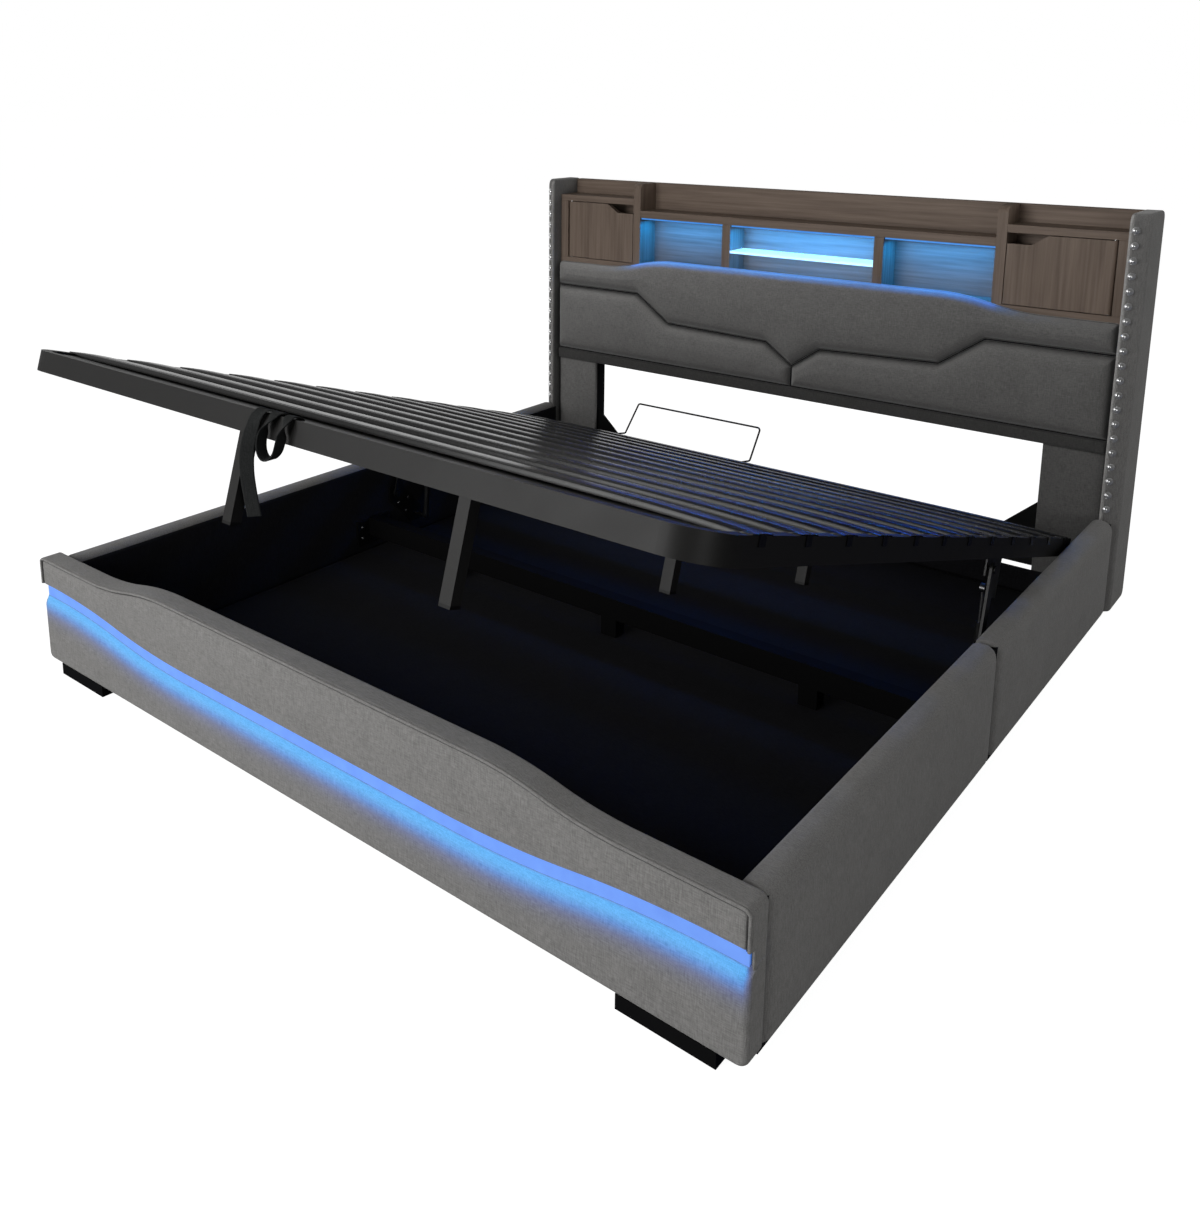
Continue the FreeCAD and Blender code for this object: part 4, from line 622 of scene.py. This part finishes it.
def front_edge(z):
    return WING_FRONT + WING_CORNER - np.sqrt(WING_CORNER ** 2 - past_top(z) ** 2)


def back_edge(z):
    past = np.maximum(np.clip(WING_BASE + WING_CORNER - z, 0, WING_CORNER), past_top(z))
    return WING_BACK - WING_CORNER + np.sqrt(WING_CORNER ** 2 - past ** 2)


DENT_DEPTH, DENT_WIDTH = 0.0025, 0.012
ROLL_SEAM_DEPTH, ROLL_SEAM_WIDTH = 0.0026, 0.0016
ROLL_DEPTH = 0.012


def puckers(points, side):
    """How far the wing's front face is pulled in: small dents at the studs and a seam beside the roll."""
    stand = points[:, 0] * side - WING_INNER
    across = np.hypot(stand - STUD_REACH, points[:, 1] - STUD_Y)
    nearest = np.min(np.abs(points[:, 2][:, None] - STUD_HEIGHTS[None, :]), axis=1)
    dents = DENT_DEPTH * np.exp(-(across ** 2 + nearest ** 2) / DENT_WIDTH ** 2)
    front = np.clip((WING_FRONT + 0.060 - points[:, 1]) / 0.010, 0, 1)
    seam = ROLL_SEAM_DEPTH * np.exp(-((stand - ROLL_WIDTH - 0.001) / ROLL_SEAM_WIDTH) ** 2) * front
    return dents + seam


for side, name in SIDES:
    wing = pad("%s_wing_cushion" % name, edge_spread(WING_BASE, WING_TOP, 0.005), front_edge, back_edge, 40,
               WING_THICK, (0.008, 0.006, 0.006, 0.008), 0.006, wing_place(side), grey, crown=0.002,
               wall_rings=34, slot="grey_fabric", replaced=["%s_wing_cover" % name], fill=0.7)
    moved = np.array([vertex.co for vertex in wing.data.vertices])
    moved[:, 1] += puckers(moved, side)
    wing.data.vertices.foreach_set("co", moved.astype(np.float32).ravel())
    wing.data.update()
    # Painted highlight: the faces of the inner roll take the lighter weave.
    wing.data.materials.append(grey_roll_highlight)
    for face in wing.data.polygons:
        on_roll = abs(face.center.x) < WING_INNER + ROLL_WIDTH + 0.001
        if on_roll and face.center.y < WING_FRONT + ROLL_DEPTH:
            face.material_index = 1


# Finishes of the solids that stay

def finish(material, *names):
    """Give solids of the frame one material."""
    for label in names:
        slots = nodes[label].data.materials
        if not slots:
            slots.append(material)
        for number in range(len(slots)):
            slots[number] = material


finish(wood_level, "headboard_back_panel", "shelf_bottom_board", "middle_shelf_board", "cabinet_tops")
finish(wood_upright, "cabinet_sides", "niche_dividers", "shelf_uprights", "left_door", "right_door")
finish(steel_black, "slat_frame_tube", "frame_cross_tubes", "support_legs", "slat_rivets")
finish(steel_dark, "frame_lift_brackets", "lift_base_plates", "left_lift_arm", "right_lift_arm",
       "left_strut_cylinder", "right_strut_cylinder", "mattress_stop", "rail_joining_plates",
       "corner_brackets", "head_end_bar")
finish(steel_matt, "middle_cross_beam", "middle_feet")
finish(plastic_black, "footboard_feet", "support_leg_caps", "floor_glides", "led_power_supply")


def ease_edges(width, *names):
    """Join the split corners of solids and round their edges slightly."""
    for label in names:
        thing = nodes[label]
        weld = thing.modifiers.new("weld", "WELD")
        weld.merge_threshold = 0.00002
        bevel = thing.modifiers.new("bevel", "BEVEL")
        bevel.width = width
        bevel.segments = 2
        bevel.limit_method = "ANGLE"
        bevel.angle_limit = math.radians(40)
        bevel.harden_normals = True
        bevel.use_clamp_overlap = True


BOARD_EASE = 0.0012
ease_edges(BOARD_EASE, "headboard_back_panel", "shelf_bottom_board", "middle_shelf_board", "cabinet_tops",
           "cabinet_sides", "niche_dividers", "shelf_uprights", "left_door", "right_door")

chrome, _, _ = speckled("chrome", (300.0,), (0.85,) * 3, (0.95,) * 3, Metallic=1.0, Roughness=0.27)
finish(chrome, "door_hinge_pins", "glass_shelf_pins")
stud_chrome, _, _ = speckled("stud_chrome", (260.0,), (0.86,) * 3, (0.95,) * 3, Metallic=0.72, Roughness=0.17)

zinc, tree, shader = speckled("dark_zinc", (260.0,), (0.10, 0.10, 0.105), (0.17, 0.17, 0.175),
                              Metallic=1.0, Roughness=0.35)
bump(tree, shader, spots(tree, 700.0), 0.1, 0.0002)
finish(zinc, "left_strut_rod", "right_strut_rod", "assembly_bolts")

ply, _, _ = speckled("bare_board", (1.0, 4.0, (4, 60, 60)), (0.30, 0.21, 0.13), (0.46, 0.34, 0.22),
                     Roughness=0.8)
finish(ply, "storage_floor_panels")
# The boards behind the cushions take the black lining; between the headboard's pads it is painted shade in
# the channels.
finish(lining, "footboard_core", "headboard_legs", "headboard_panel_board", "rail_boards", "wing_boards")

diffuser, tree, shader = speckled("light_diffuser", (30.0,), (0.10, 0.22, 0.62), (0.12, 0.27, 0.72),
                                  Roughness=0.6)
bright = ramp(tree, spots(tree, 12.0), [(0.3, (0.070, 0.135, 0.36)), (0.7, (0.085, 0.160, 0.41))])
# Painted shade: the strip's glow grows darker and bluer in its corners, by ambient occlusion.
corner = add(tree, "AmbientOcclusion", {"Distance": 0.018}, samples=6)
painted_corner_shade = ramp(tree, corner.outputs["AO"], [(0.30, (0.15, 0.62, 0.95)), (0.72, (1, 1, 1))])
emit(tree, shader, multiply(tree, bright, painted_corner_shade))
finish(diffuser, "footboard_light_strip")

strip_light, tree, shader = speckled("niche_light", (40.0,), (0.02, 0.06, 0.16), (0.03, 0.09, 0.22),
                                     Roughness=0.5)
emit(tree, shader, ramp(tree, spots(tree, 20.0), [(0.3, (0.03, 0.20, 0.62)), (0.7, (0.05, 0.25, 0.70))]))
finish(strip_light, "niche_light_strips")

glass, tree, shader = new_material("lit_glass", Roughness=0.15, IOR=1.45, Transmission_Weight=0.5)
wire(tree, ramp(tree, spots(tree, 8.0), [(0.2, (0.55, 0.80, 0.95)), (0.8, (0.70, 0.90, 1.0))]),
     shader.inputs["Base Color"])
emit(tree, shader, ramp(tree, spots(tree, 6.0), [(0.2, (0.27, 0.48, 0.80)), (0.8, (0.38, 0.60, 0.88))]), 0.9)
finish(glass, "glass_shelf")


# Black lining of the storage box

# How far wrinkles go behind and before the flat sheet.
LINING_PLAY = (-0.0011, 0.0003)
CLOTH_FRONT, CLOTH_BACK = 0.0008, -0.0004
WAVES, WRINKLE_FADE = 9, 0.06


def cloth_sheet(name, corner, along, across, cells, normal, wrinkle, replaced=()):
    """A thin closed sheet laid from a corner along two directions, with soft wrinkles."""
    corner, along, across, normal = (np.array(v, float) for v in (corner, along, across, normal))
    nx, ny = cells
    s, t = np.meshgrid(np.linspace(0, 1, nx), np.linspace(0, 1, ny), indexing="ij")
    s, t = s.ravel(), t.ravel()
    edge = np.minimum(np.minimum(s, 1 - s), np.minimum(t, 1 - t))
    wave_height = np.zeros_like(s)
    for _ in range(WAVES):
        direction = rng.uniform(-1, 1, 2)
        count = rng.uniform(3, 16)
        way = direction[0] * s + direction[1] * t
        wave_height += np.sin(2 * math.pi * count * way + rng.uniform(0, 6.28))
    wave_height *= wrinkle / WAVES * np.clip(edge / WRINKLE_FADE, 0, 1)
    wave_height = np.clip(wave_height, *LINING_PLAY)
    base = corner + s[:, None] * along + t[:, None] * across
    front = base + (wave_height + CLOTH_FRONT)[:, None] * normal
    back = base + (wave_height + CLOTH_BACK)[:, None] * normal
    quads, rim = grid_faces(nx, ny)
    shift = nx * ny
    faces = np.concatenate([quads, quads[:, ::-1] + shift, band(rim, rim + shift)])
    sheet = make(name, np.concatenate([front, back]), faces, lining, slot="black_fabric", replaced=replaced)


LINER_HALF, LINER_FRONT, LINER_BACK = 0.9742, -1.0442, 1.0082
LINER_FLOOR, LINER_FOOT = 0.0070, 0.0068
LINER_WIDE, LINER_LONG = 2 * LINER_HALF, LINER_BACK - LINER_FRONT
WALL_LONG, WALL_HIGH, HEAD_HIGH = 2.0142, 0.2812, 0.0782
FLOOR_WRINKLE, WALL_WRINKLE, HEAD_WRINKLE = 0.0035, 0.0022, 0.001
cloth_sheet("storage_floor_lining", (-LINER_HALF, LINER_FRONT, LINER_FLOOR), (LINER_WIDE, 0, 0),
            (0, LINER_LONG, 0), (150, 160), (0, 0, 1), FLOOR_WRINKLE,
            ["storage_liner"])
for side, name in SIDES:
    cloth_sheet("storage_%s_lining" % name, (side * LINER_HALF, LINER_FRONT + 0.002, LINER_FOOT),
                (0, WALL_LONG, 0), (0, 0, WALL_HIGH), (200, 30), (-side, 0, 0),
                WALL_WRINKLE)
cloth_sheet("storage_front_lining", (-LINER_HALF, LINER_FRONT, LINER_FOOT), (LINER_WIDE, 0, 0),
            (0, 0, WALL_HIGH), (190, 30), (0, 1, 0), WALL_WRINKLE)
cloth_sheet("storage_head_lining", (-LINER_HALF, LINER_BACK, LINER_FOOT), (LINER_WIDE, 0, 0),
            (0, 0, HEAD_HIGH), (190, 10), (0, -1, 0), HEAD_WRINKLE)


# Slats, a dark plate for the shade of the front gap, and pull strap of the slat frame

FRAME_Y, FRAME_Z, TILT = -1.1158211, 0.8825614, math.radians(17.27)


def frame_point(x, s, n):
    """A point of the slat frame's own plane, in the bed's coordinates."""
    return np.array([x, FRAME_Y + s * math.cos(TILT) + n * math.sin(TILT),
                     FRAME_Z - s * math.sin(TILT) + n * math.cos(TILT)])


def smooth_path(points, count):
    """Points along a smooth curve through a few given ones."""
    points = np.asarray(points, float)
    lengths = np.concatenate([[0], np.cumsum(np.linalg.norm(np.diff(points, axis=0), axis=1))])
    where = np.linspace(0, lengths[-1], count)
    padded = np.concatenate([[2 * points[0] - points[1]], points, [2 * points[-1] - points[-2]]])
    out = []
    for spot in where:
        number = min(int(np.searchsorted(lengths, spot, side="right")) - 1, len(points) - 2)
        t = (spot - lengths[number]) / (lengths[number + 1] - lengths[number])
        p0, p1, p2, p3 = padded[number:number + 4]
        out.append(0.5 * (2 * p1 + (p2 - p0) * t + (2 * p0 - 5 * p1 + 4 * p2 - p3) * t ** 2
                          + (3 * p1 - p0 - 3 * p2 + p3) * t ** 3))
    return np.array(out)


# Steps along the strap, lanes across it, the ribs across its width and their height.
STRAP_STEPS, STRAP_LANES, STRAP_RIBS, RIB_HEIGHT = 90, 13, 5, 0.00035


def webbing(name, path, width, thick, twist, replaced=()):
    """A ribbed band along a path of points. Its width lies along X and turns by twist(share) towards Y."""
    path = smooth_path(path, STRAP_STEPS)
    ways = np.gradient(path, axis=0)
    ways /= np.linalg.norm(ways, axis=1)[:, None]
    angle = twist(np.linspace(0, 1, STRAP_STEPS))
    width_way = np.stack([np.cos(angle), np.sin(angle), np.zeros(STRAP_STEPS)], 1)
    width_way -= ways * np.sum(width_way * ways, axis=1)[:, None]
    width_way /= np.linalg.norm(width_way, axis=1)[:, None]
    normal = np.cross(width_way, ways)
    lanes = np.linspace(-0.5, 0.5, STRAP_LANES)
    rib = RIB_HEIGHT * np.cos(lanes * 2 * math.pi * STRAP_RIBS)
    ring = [(lane * width, thick / 2 + extra) for lane, extra in zip(lanes, rib)]
    ring += [(across, -up) for across, up in ring[::-1]]
    points, faces = [], []
    for spot, out, wide in zip(path, normal, width_way):
        for across, up in ring:
            points.append(spot + wide * across + out * up)
    skin(faces, 0, len(path), len(ring))
    strap = make(name, points, faces, webbing_black, body="slat_frame", slot="black_fabric",
                 replaced=replaced)
    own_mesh(strap)


# A slat's cross section in millimetres: along the frame, and above the side tubes.
PROFILE = np.array([
    (-34, -12.5), (-34, -3.0), (-33.2, -1.2), (-31.4, -0.3), (-29.0, -0.4), (-27.0, -1.6), (-24.6, -1.6),
    (-22.6, 0.1), (-14, 0.9), (0, 1.2), (14, 0.9), (22.6, 0.1), (24.6, -1.6), (27.0, -1.6), (29.0, -0.4),
    (31.4, -0.3), (33.2, -1.2), (34, -3.0), (34, -12.5), (32.4, -12.5), (32.4, -3.4), (23, -2.6), (0, -0.9),
    (-23, -2.6), (-32.4, -3.4), (-32.4, -12.5)]) / 1000
SLAT_HALF = 0.9615
SLAT_FIRST, SLAT_PITCH, SLAT_COUNT = 0.146, 0.164, 12
SLAT_LOW, SLAT_BOW = 0.0025, 0.0075
TAB_THICK, TAB_HALF, TAB_LOW, TAB_HIGH = 0.0016, 0.011, -0.017, 0.0030
BOX_FACES = ((0, 1, 3, 2), (4, 6, 7, 5), (0, 4, 5, 1), (2, 3, 7, 6), (0, 2, 6, 4), (1, 5, 7, 3))


def slats():
    """Pressed steel slats over the side tubes, a little bowed, with turned down edges, two grooves along
    each and a hooked tab at both ends."""
    half = np.concatenate([[SLAT_HALF, 0.958, 0.950, 0.940, 0.928, 0.915, 0.895, 0.87],
                           np.linspace(0.82, 0, 20)])
    stations = np.concatenate([-half, half[-2::-1]])
    points, faces = [], []
    for number in range(SLAT_COUNT):
        middle = SLAT_FIRST + SLAT_PITCH * number
        first = len(points)
        for x in stations:
            lift = SLAT_LOW + SLAT_BOW * (1 - (abs(x) / SLAT_HALF) ** 9)
            deep = 0.25 + 0.75 * min(1.0, (SLAT_HALF - abs(x)) / 0.05)
            for across, down in PROFILE:
                points.append(frame_point(x, middle + across, lift + down * deep))
        skin(faces, first, len(stations), len(PROFILE))
        for side in (-1, 1):
            faces += [tuple(len(points) + corner for corner in face) for face in BOX_FACES]
            for x in (side * SLAT_HALF, side * (SLAT_HALF + TAB_THICK)):
                for across in (-TAB_HALF, TAB_HALF):
                    for level in (TAB_LOW, TAB_HIGH):
                        points.append(frame_point(x, middle + across, level))
    thing = make("slat_set", points, faces, steel_slat, body="slat_frame", slot="black_steel",
                 replaced=["slats"])
    crease(thing, 35)


def crease(thing, angle):
    """Keep edges sharper than an angle in degrees crisp in a smooth mesh."""
    mesh = thing.data
    limit = math.cos(math.radians(angle))
    normals = [face.normal.copy() for face in mesh.polygons]
    sides = {}
    for face in mesh.polygons:
        for key in face.edge_keys:
            sides.setdefault(key, []).append(face.index)
    for edge in mesh.edges:
        pair = sides.get(edge.key, [])
        if len(pair) == 2 and normals[pair[0]].dot(normals[pair[1]]) < limit:
            edge.use_edge_sharp = True


slats()

SHADE_PLATE_CORNERS = ((-0.93, 0.0255, -0.0045), (0.93, 0.0255, -0.0045), (0.93, 0.200, -0.0070),
               (-0.93, 0.200, -0.0070))
SHADE_PLATE_THICK = 0.0015


def gap_shade_plate():
    """A thin dark plate between the front bar and the first slat, a dark sheet in place of the shade in that
    gap.
    """
    low = [frame_point(x, s, n - SHADE_PLATE_THICK) for x, s, n in SHADE_PLATE_CORNERS]
    high = [frame_point(*corner) for corner in SHADE_PLATE_CORNERS]
    faces = [(3, 2, 1, 0), (4, 5, 6, 7)] + [(a, (a + 1) % 4, (a + 1) % 4 + 4, a + 4) for a in range(4)]
    make("front_web_plate", low + high, faces, steel_dark, smooth=False, body="slat_frame",
         slot="black_steel")


gap_shade_plate()


def strap_line(points):
    """Points of the slat frame's plane, in the bed's coordinates."""
    return [frame_point(*point) for point in points]


TAIL = strap_line([(-0.020, 0.0275, -0.046), (-0.020, 0.0275, -0.006), (-0.022, 0.0245, 0.0030),
                   (-0.028, 0.010, 0.0042), (-0.036, -0.004, 0.0025), (-0.046, -0.010, -0.012)])
tail_start = np.array(TAIL[-1])
TAIL += [tail_start + np.array(step) for step in (
    (-0.014, -0.004, -0.030), (-0.027, -0.006, -0.070), (-0.036, -0.003, -0.115), (-0.038, 0.003, -0.165),
    (-0.034, 0.008, -0.214))]
webbing("pull_strap_tail", TAIL, 0.030, 0.0022, lambda share: 0.55 * np.clip((share - 0.3) / 0.25, 0, 1),
        ["pull_strap"])
LOOP = strap_line([
    (0.004, 0.0275, -0.020), (0.004, 0.0270, -0.003), (0.004, 0.020, 0.0036), (0.002, 0.002, 0.0040),
    (-0.002, -0.0080, -0.004), (-0.008, -0.0150, -0.026), (-0.009, -0.0180, -0.050),
    (0.000, -0.0190, -0.072), (0.016, -0.0190, -0.083), (0.033, -0.0190, -0.080),
    (0.044, -0.0190, -0.066), (0.046, -0.0180, -0.046), (0.044, -0.0150, -0.024),
    (0.042, -0.0080, -0.004), (0.040, 0.002, 0.0040), (0.040, 0.020, 0.0036), (0.040, 0.0270, -0.003),
    (0.040, 0.0275, -0.020)])


def loop_twist(share):
    """Flat over the bar at both ends, and on edge around the loop below it."""
    middle = np.abs(share - 0.5)
    return -math.pi / 2 * np.clip((0.32 - middle) / 0.12, 0, 1)


webbing("pull_strap_loop", LOOP, 0.024, 0.0024, loop_twist)


# Studs of the wings

STUD_RADIUS, STUD_RISE, STUD_SUNK = 0.0115, 0.75, 0.001
STUD_RINGS, STUD_AROUND = 7, 20


def studs():
    """Domed studs over the nose of both wings."""
    points, faces = [], []
    upward = np.array([0, 0, 1])
    for side in (-1, 1):
        out = np.array([side * NOSE / NOSE_LENGTH, -NOSE_RUN / NOSE_LENGTH, 0])
        flat = np.array([side * NOSE_RUN / NOSE_LENGTH, NOSE / NOSE_LENGTH, 0])
        spot = np.array([side * (WING_INNER + STUD_REACH), STUD_Y, 0]) - out * STUD_SUNK
        for height in STUD_HEIGHTS:
            first = len(points)
            middle = spot + height * upward
            for ring in range(STUD_RINGS):
                tilt = ring / STUD_RINGS * math.pi / 2
                for turn in np.arange(STUD_AROUND) * 2 * math.pi / STUD_AROUND:
                    way = math.cos(turn) * flat + math.sin(turn) * upward
                    points.append(middle + STUD_RADIUS * math.cos(tilt) * way
                                  + STUD_RISE * STUD_RADIUS * math.sin(tilt) * out)
            points.append(middle + STUD_RISE * STUD_RADIUS * out)
            skin(faces, first, STUD_RINGS, STUD_AROUND, capped=False)
            last = first + (STUD_RINGS - 1) * STUD_AROUND
            for step in range(STUD_AROUND):
                faces.append((last + step, last + (step + 1) % STUD_AROUND, len(points) - 1))
    thing = make("wing_stud_domes", points, faces, stud_chrome, slot="chrome_studs", replaced=["wing_studs"])
    crease(thing, 50)


studs()


# Stage, light and camera

REACH = 60.0
FLOOR_SEEN, FLOOR_GREY, FLOOR_DIM = 0.945, 0.30, 0.018
AMBIENT, SKY_DIM = 0.19, 0.010

floor_mesh = bpy.data.meshes.new("floor")
floor_mesh.from_pydata([(-REACH, -REACH, 0), (REACH, -REACH, 0), (REACH, REACH, 0), (-REACH, REACH, 0)], [],
                       [(0, 1, 2, 3)])
floor = bpy.data.objects.new("floor", floor_mesh)
collection.objects.link(floor)


def seen_and_mirrored(tree):
    """Two masks: rays straight from the camera, also through glass, and rays off a glossy surface."""
    path_kind = add(tree, "LightPath")
    seen = maths(tree, "MAXIMUM", path_kind.outputs["Is Camera Ray"],
                 path_kind.outputs["Is Transmission Ray"])
    return seen, path_kind.outputs["Is Glossy Ray"]


def paper():
    """The floor is white to the camera and grey to lamps; to mirrors it shows a painted reflection, dark blue
    to dim white by place.
    """
    material = bpy.data.materials.new("paper")
    material.use_nodes = True
    tree = material.node_tree
    tree.nodes.clear()
    output = add(tree, "OutputMaterial")
    matte = add(tree, "BsdfDiffuse", {"Color": (FLOOR_GREY, FLOOR_GREY, FLOOR_GREY, 1)})
    white = add(tree, "Emission", {"Color": (1, 1, 1, 1)})
    seen, glossy = seen_and_mirrored(tree)
    wire(tree, maths(tree, "MULTIPLY", seen, FLOOR_SEEN), white.inputs["Strength"])
    both = add(tree, "AddShader")
    wire(tree, matte.outputs[0], both.inputs[0])
    wire(tree, white.outputs[0], both.inputs[1])
    painted_reflection = add(tree, "Emission")
    spot = add(tree, "SeparateXYZ")
    wire(tree, add(tree, "NewGeometry").outputs["Position"], spot.inputs[0])
    leftward = clamped(maths(tree, "SUBTRACT", -1.1, spot.outputs["X"]))
    rearward = clamped(maths(tree, "ADD", spot.outputs["Y"], 0.8))
    bright = maths(tree, "MULTIPLY", leftward, rearward)
    wire(tree, ramp(tree, bright, [(0.0, (0.22, 0.32, 1.0)), (0.10, (1, 1, 1))]), painted_reflection.inputs["Color"])
    wire(tree, maths(tree, "ADD", maths(tree, "MULTIPLY", bright, 0.95), FLOOR_DIM), painted_reflection.inputs["Strength"])
    choice = add(tree, "MixShader")
    wire(tree, glossy, choice.inputs[0])
    wire(tree, both.outputs[0], choice.inputs[1])
    wire(tree, painted_reflection.outputs[0], choice.inputs[2])
    wire(tree, choice.outputs[0], output.inputs["Surface"])
    return material


def studio():
    """The sky is white to the camera, a weak light on surfaces, and bright only to the left in mirrors."""
    world = bpy.data.worlds.new("studio")
    world.use_nodes = True
    tree = world.node_tree
    tree.nodes.clear()
    output = add(tree, "OutputWorld")
    sky = add(tree, "Background", {"Color": (1, 1, 1, 1)})
    seen, glossy = seen_and_mirrored(tree)
    direction = add(tree, "SeparateXYZ")
    wire(tree, add(tree, "TexCoord").outputs["Generated"], direction.inputs[0])
    from_left = maths(tree, "SUBTRACT", -0.35, direction.outputs["X"])
    from_left = clamped(maths(tree, "MULTIPLY", from_left, 2.4))
    mirrored = maths(tree, "ADD", maths(tree, "MULTIPLY", from_left, 0.65), SKY_DIM)
    strength = maths(tree, "ADD", maths(tree, "MULTIPLY", seen, 1 - AMBIENT), AMBIENT)
    strength = maths(tree, "MULTIPLY", strength, maths(tree, "SUBTRACT", 1.0, glossy))
    strength = maths(tree, "ADD", strength, maths(tree, "MULTIPLY", mirrored, glossy))
    wire(tree, strength, sky.inputs["Strength"])
    wire(tree, sky.outputs[0], output.inputs["Surface"])
    return world


floor_mesh.materials.append(paper())
scene = bpy.context.scene
scene.view_settings.view_transform = "Standard"
scene.world = studio()


def area_light(name, place, target, size, power, colour=(1, 1, 1), height=None):
    """A lamp that faces its target, square or with a height of its own."""
    data = bpy.data.lights.new(name, "AREA")
    data.energy = power
    data.color = colour
    data.size = size
    if height:
        data.shape = "RECTANGLE"
        data.size_y = height
    lamp = bpy.data.objects.new(name, data)
    lamp.location = place
    lamp.rotation_euler = (Vector(target) - Vector(place)).to_track_quat("-Z", "Y").to_euler()
    collection.objects.link(lamp)
    return lamp


area_light("key", (-0.9, -4.3, 1.6), (0.0, -1.0, 0.3), 2.4, 122)
area_light("glint", (3.5, -2.5, 1.05), (0.96, -0.8, 0.86), 0.8, 13)
side_fill = area_light("side_fill", (4.2, 3.2, 2.0), (0.9, 0.8, 0.4), 2.5, 42)
rear_fill = area_light("rear_fill", (-2.2, 4.8, 2.2), (-0.2, 1.15, 0.6), 2.0, 34)
above = area_light("above", (-1.1, 0.45, 2.4), (0.1, 1.0, 0.65), 0.9, 21)
for lamp in (side_fill, rear_fill, above):
    lamp.visible_glossy = False
shown = bpy.data.collections.new("lit_from_above")
for label in ("headboard_upper_cushion", "headboard_right_lower_cushion", "headboard_left_lower_cushion",
              "right_wing_cushion"):
    shown.objects.link(bpy.data.objects[label])
above.light_linking.receiver_collection = shown

BLUE, VIOLET = (0.006, 0.31, 1.0), (0.02, 0.08, 1.0)
for name, middle, width, level, power in (
        ("left_niche_lamp", -0.458, 0.30, 1.030, 1.45), ("middle_niche_lamp", 0.0, 0.46, 1.030, 2.5),
        ("right_niche_lamp", 0.458, 0.30, 1.030, 1.45), ("under_glass_lamp", 0.0, 0.46, 0.944, 0.5)):
    area_light(name, (middle, 1.058, level), (middle, 1.07, 0.6), width, power, BLUE, 0.06)
glow_lamp = area_light("headboard_glow", (0.0, 0.962, 0.93), (0.0, 0.1, 0.2), 1.3, 1.9, VIOLET, 0.16)
glow_lamp.data.spread = math.radians(110)

camera_data = bpy.data.cameras.new("camera")
camera = bpy.data.objects.new("camera", camera_data)
collection.objects.link(camera)
scene.camera = camera
YAW, PITCH, ROLL = math.radians(39.8169), math.radians(-11.9075), math.radians(-0.0749)
EYE = (1.727, -2.4403, 1.4821)
FOCAL, CENTRE_X, CENTRE_Y = 1153.016, 527.474, 336.787
WIDE, HIGH = 1200, 1205
SENSOR = 36.0
ahead = Vector((-math.sin(YAW) * math.cos(PITCH), math.cos(YAW) * math.cos(PITCH), math.sin(PITCH)))
right = Vector((math.cos(YAW), math.sin(YAW), 0))
up = right.cross(ahead)
turned_right = right * math.cos(ROLL) + up * math.sin(ROLL)
turned_up = turned_right.cross(ahead)
camera.matrix_world = Matrix.Translation(EYE) @ Matrix(
    (turned_right, turned_up, -ahead)).transposed().to_4x4()
camera_data.sensor_width = SENSOR
camera_data.lens = FOCAL / HIGH * SENSOR
camera_data.shift_x = (WIDE / 2 - CENTRE_X) / HIGH
camera_data.shift_y = (CENTRE_Y - HIGH / 2) / HIGH
camera_data.clip_start, camera_data.clip_end = 0.05, 200.0
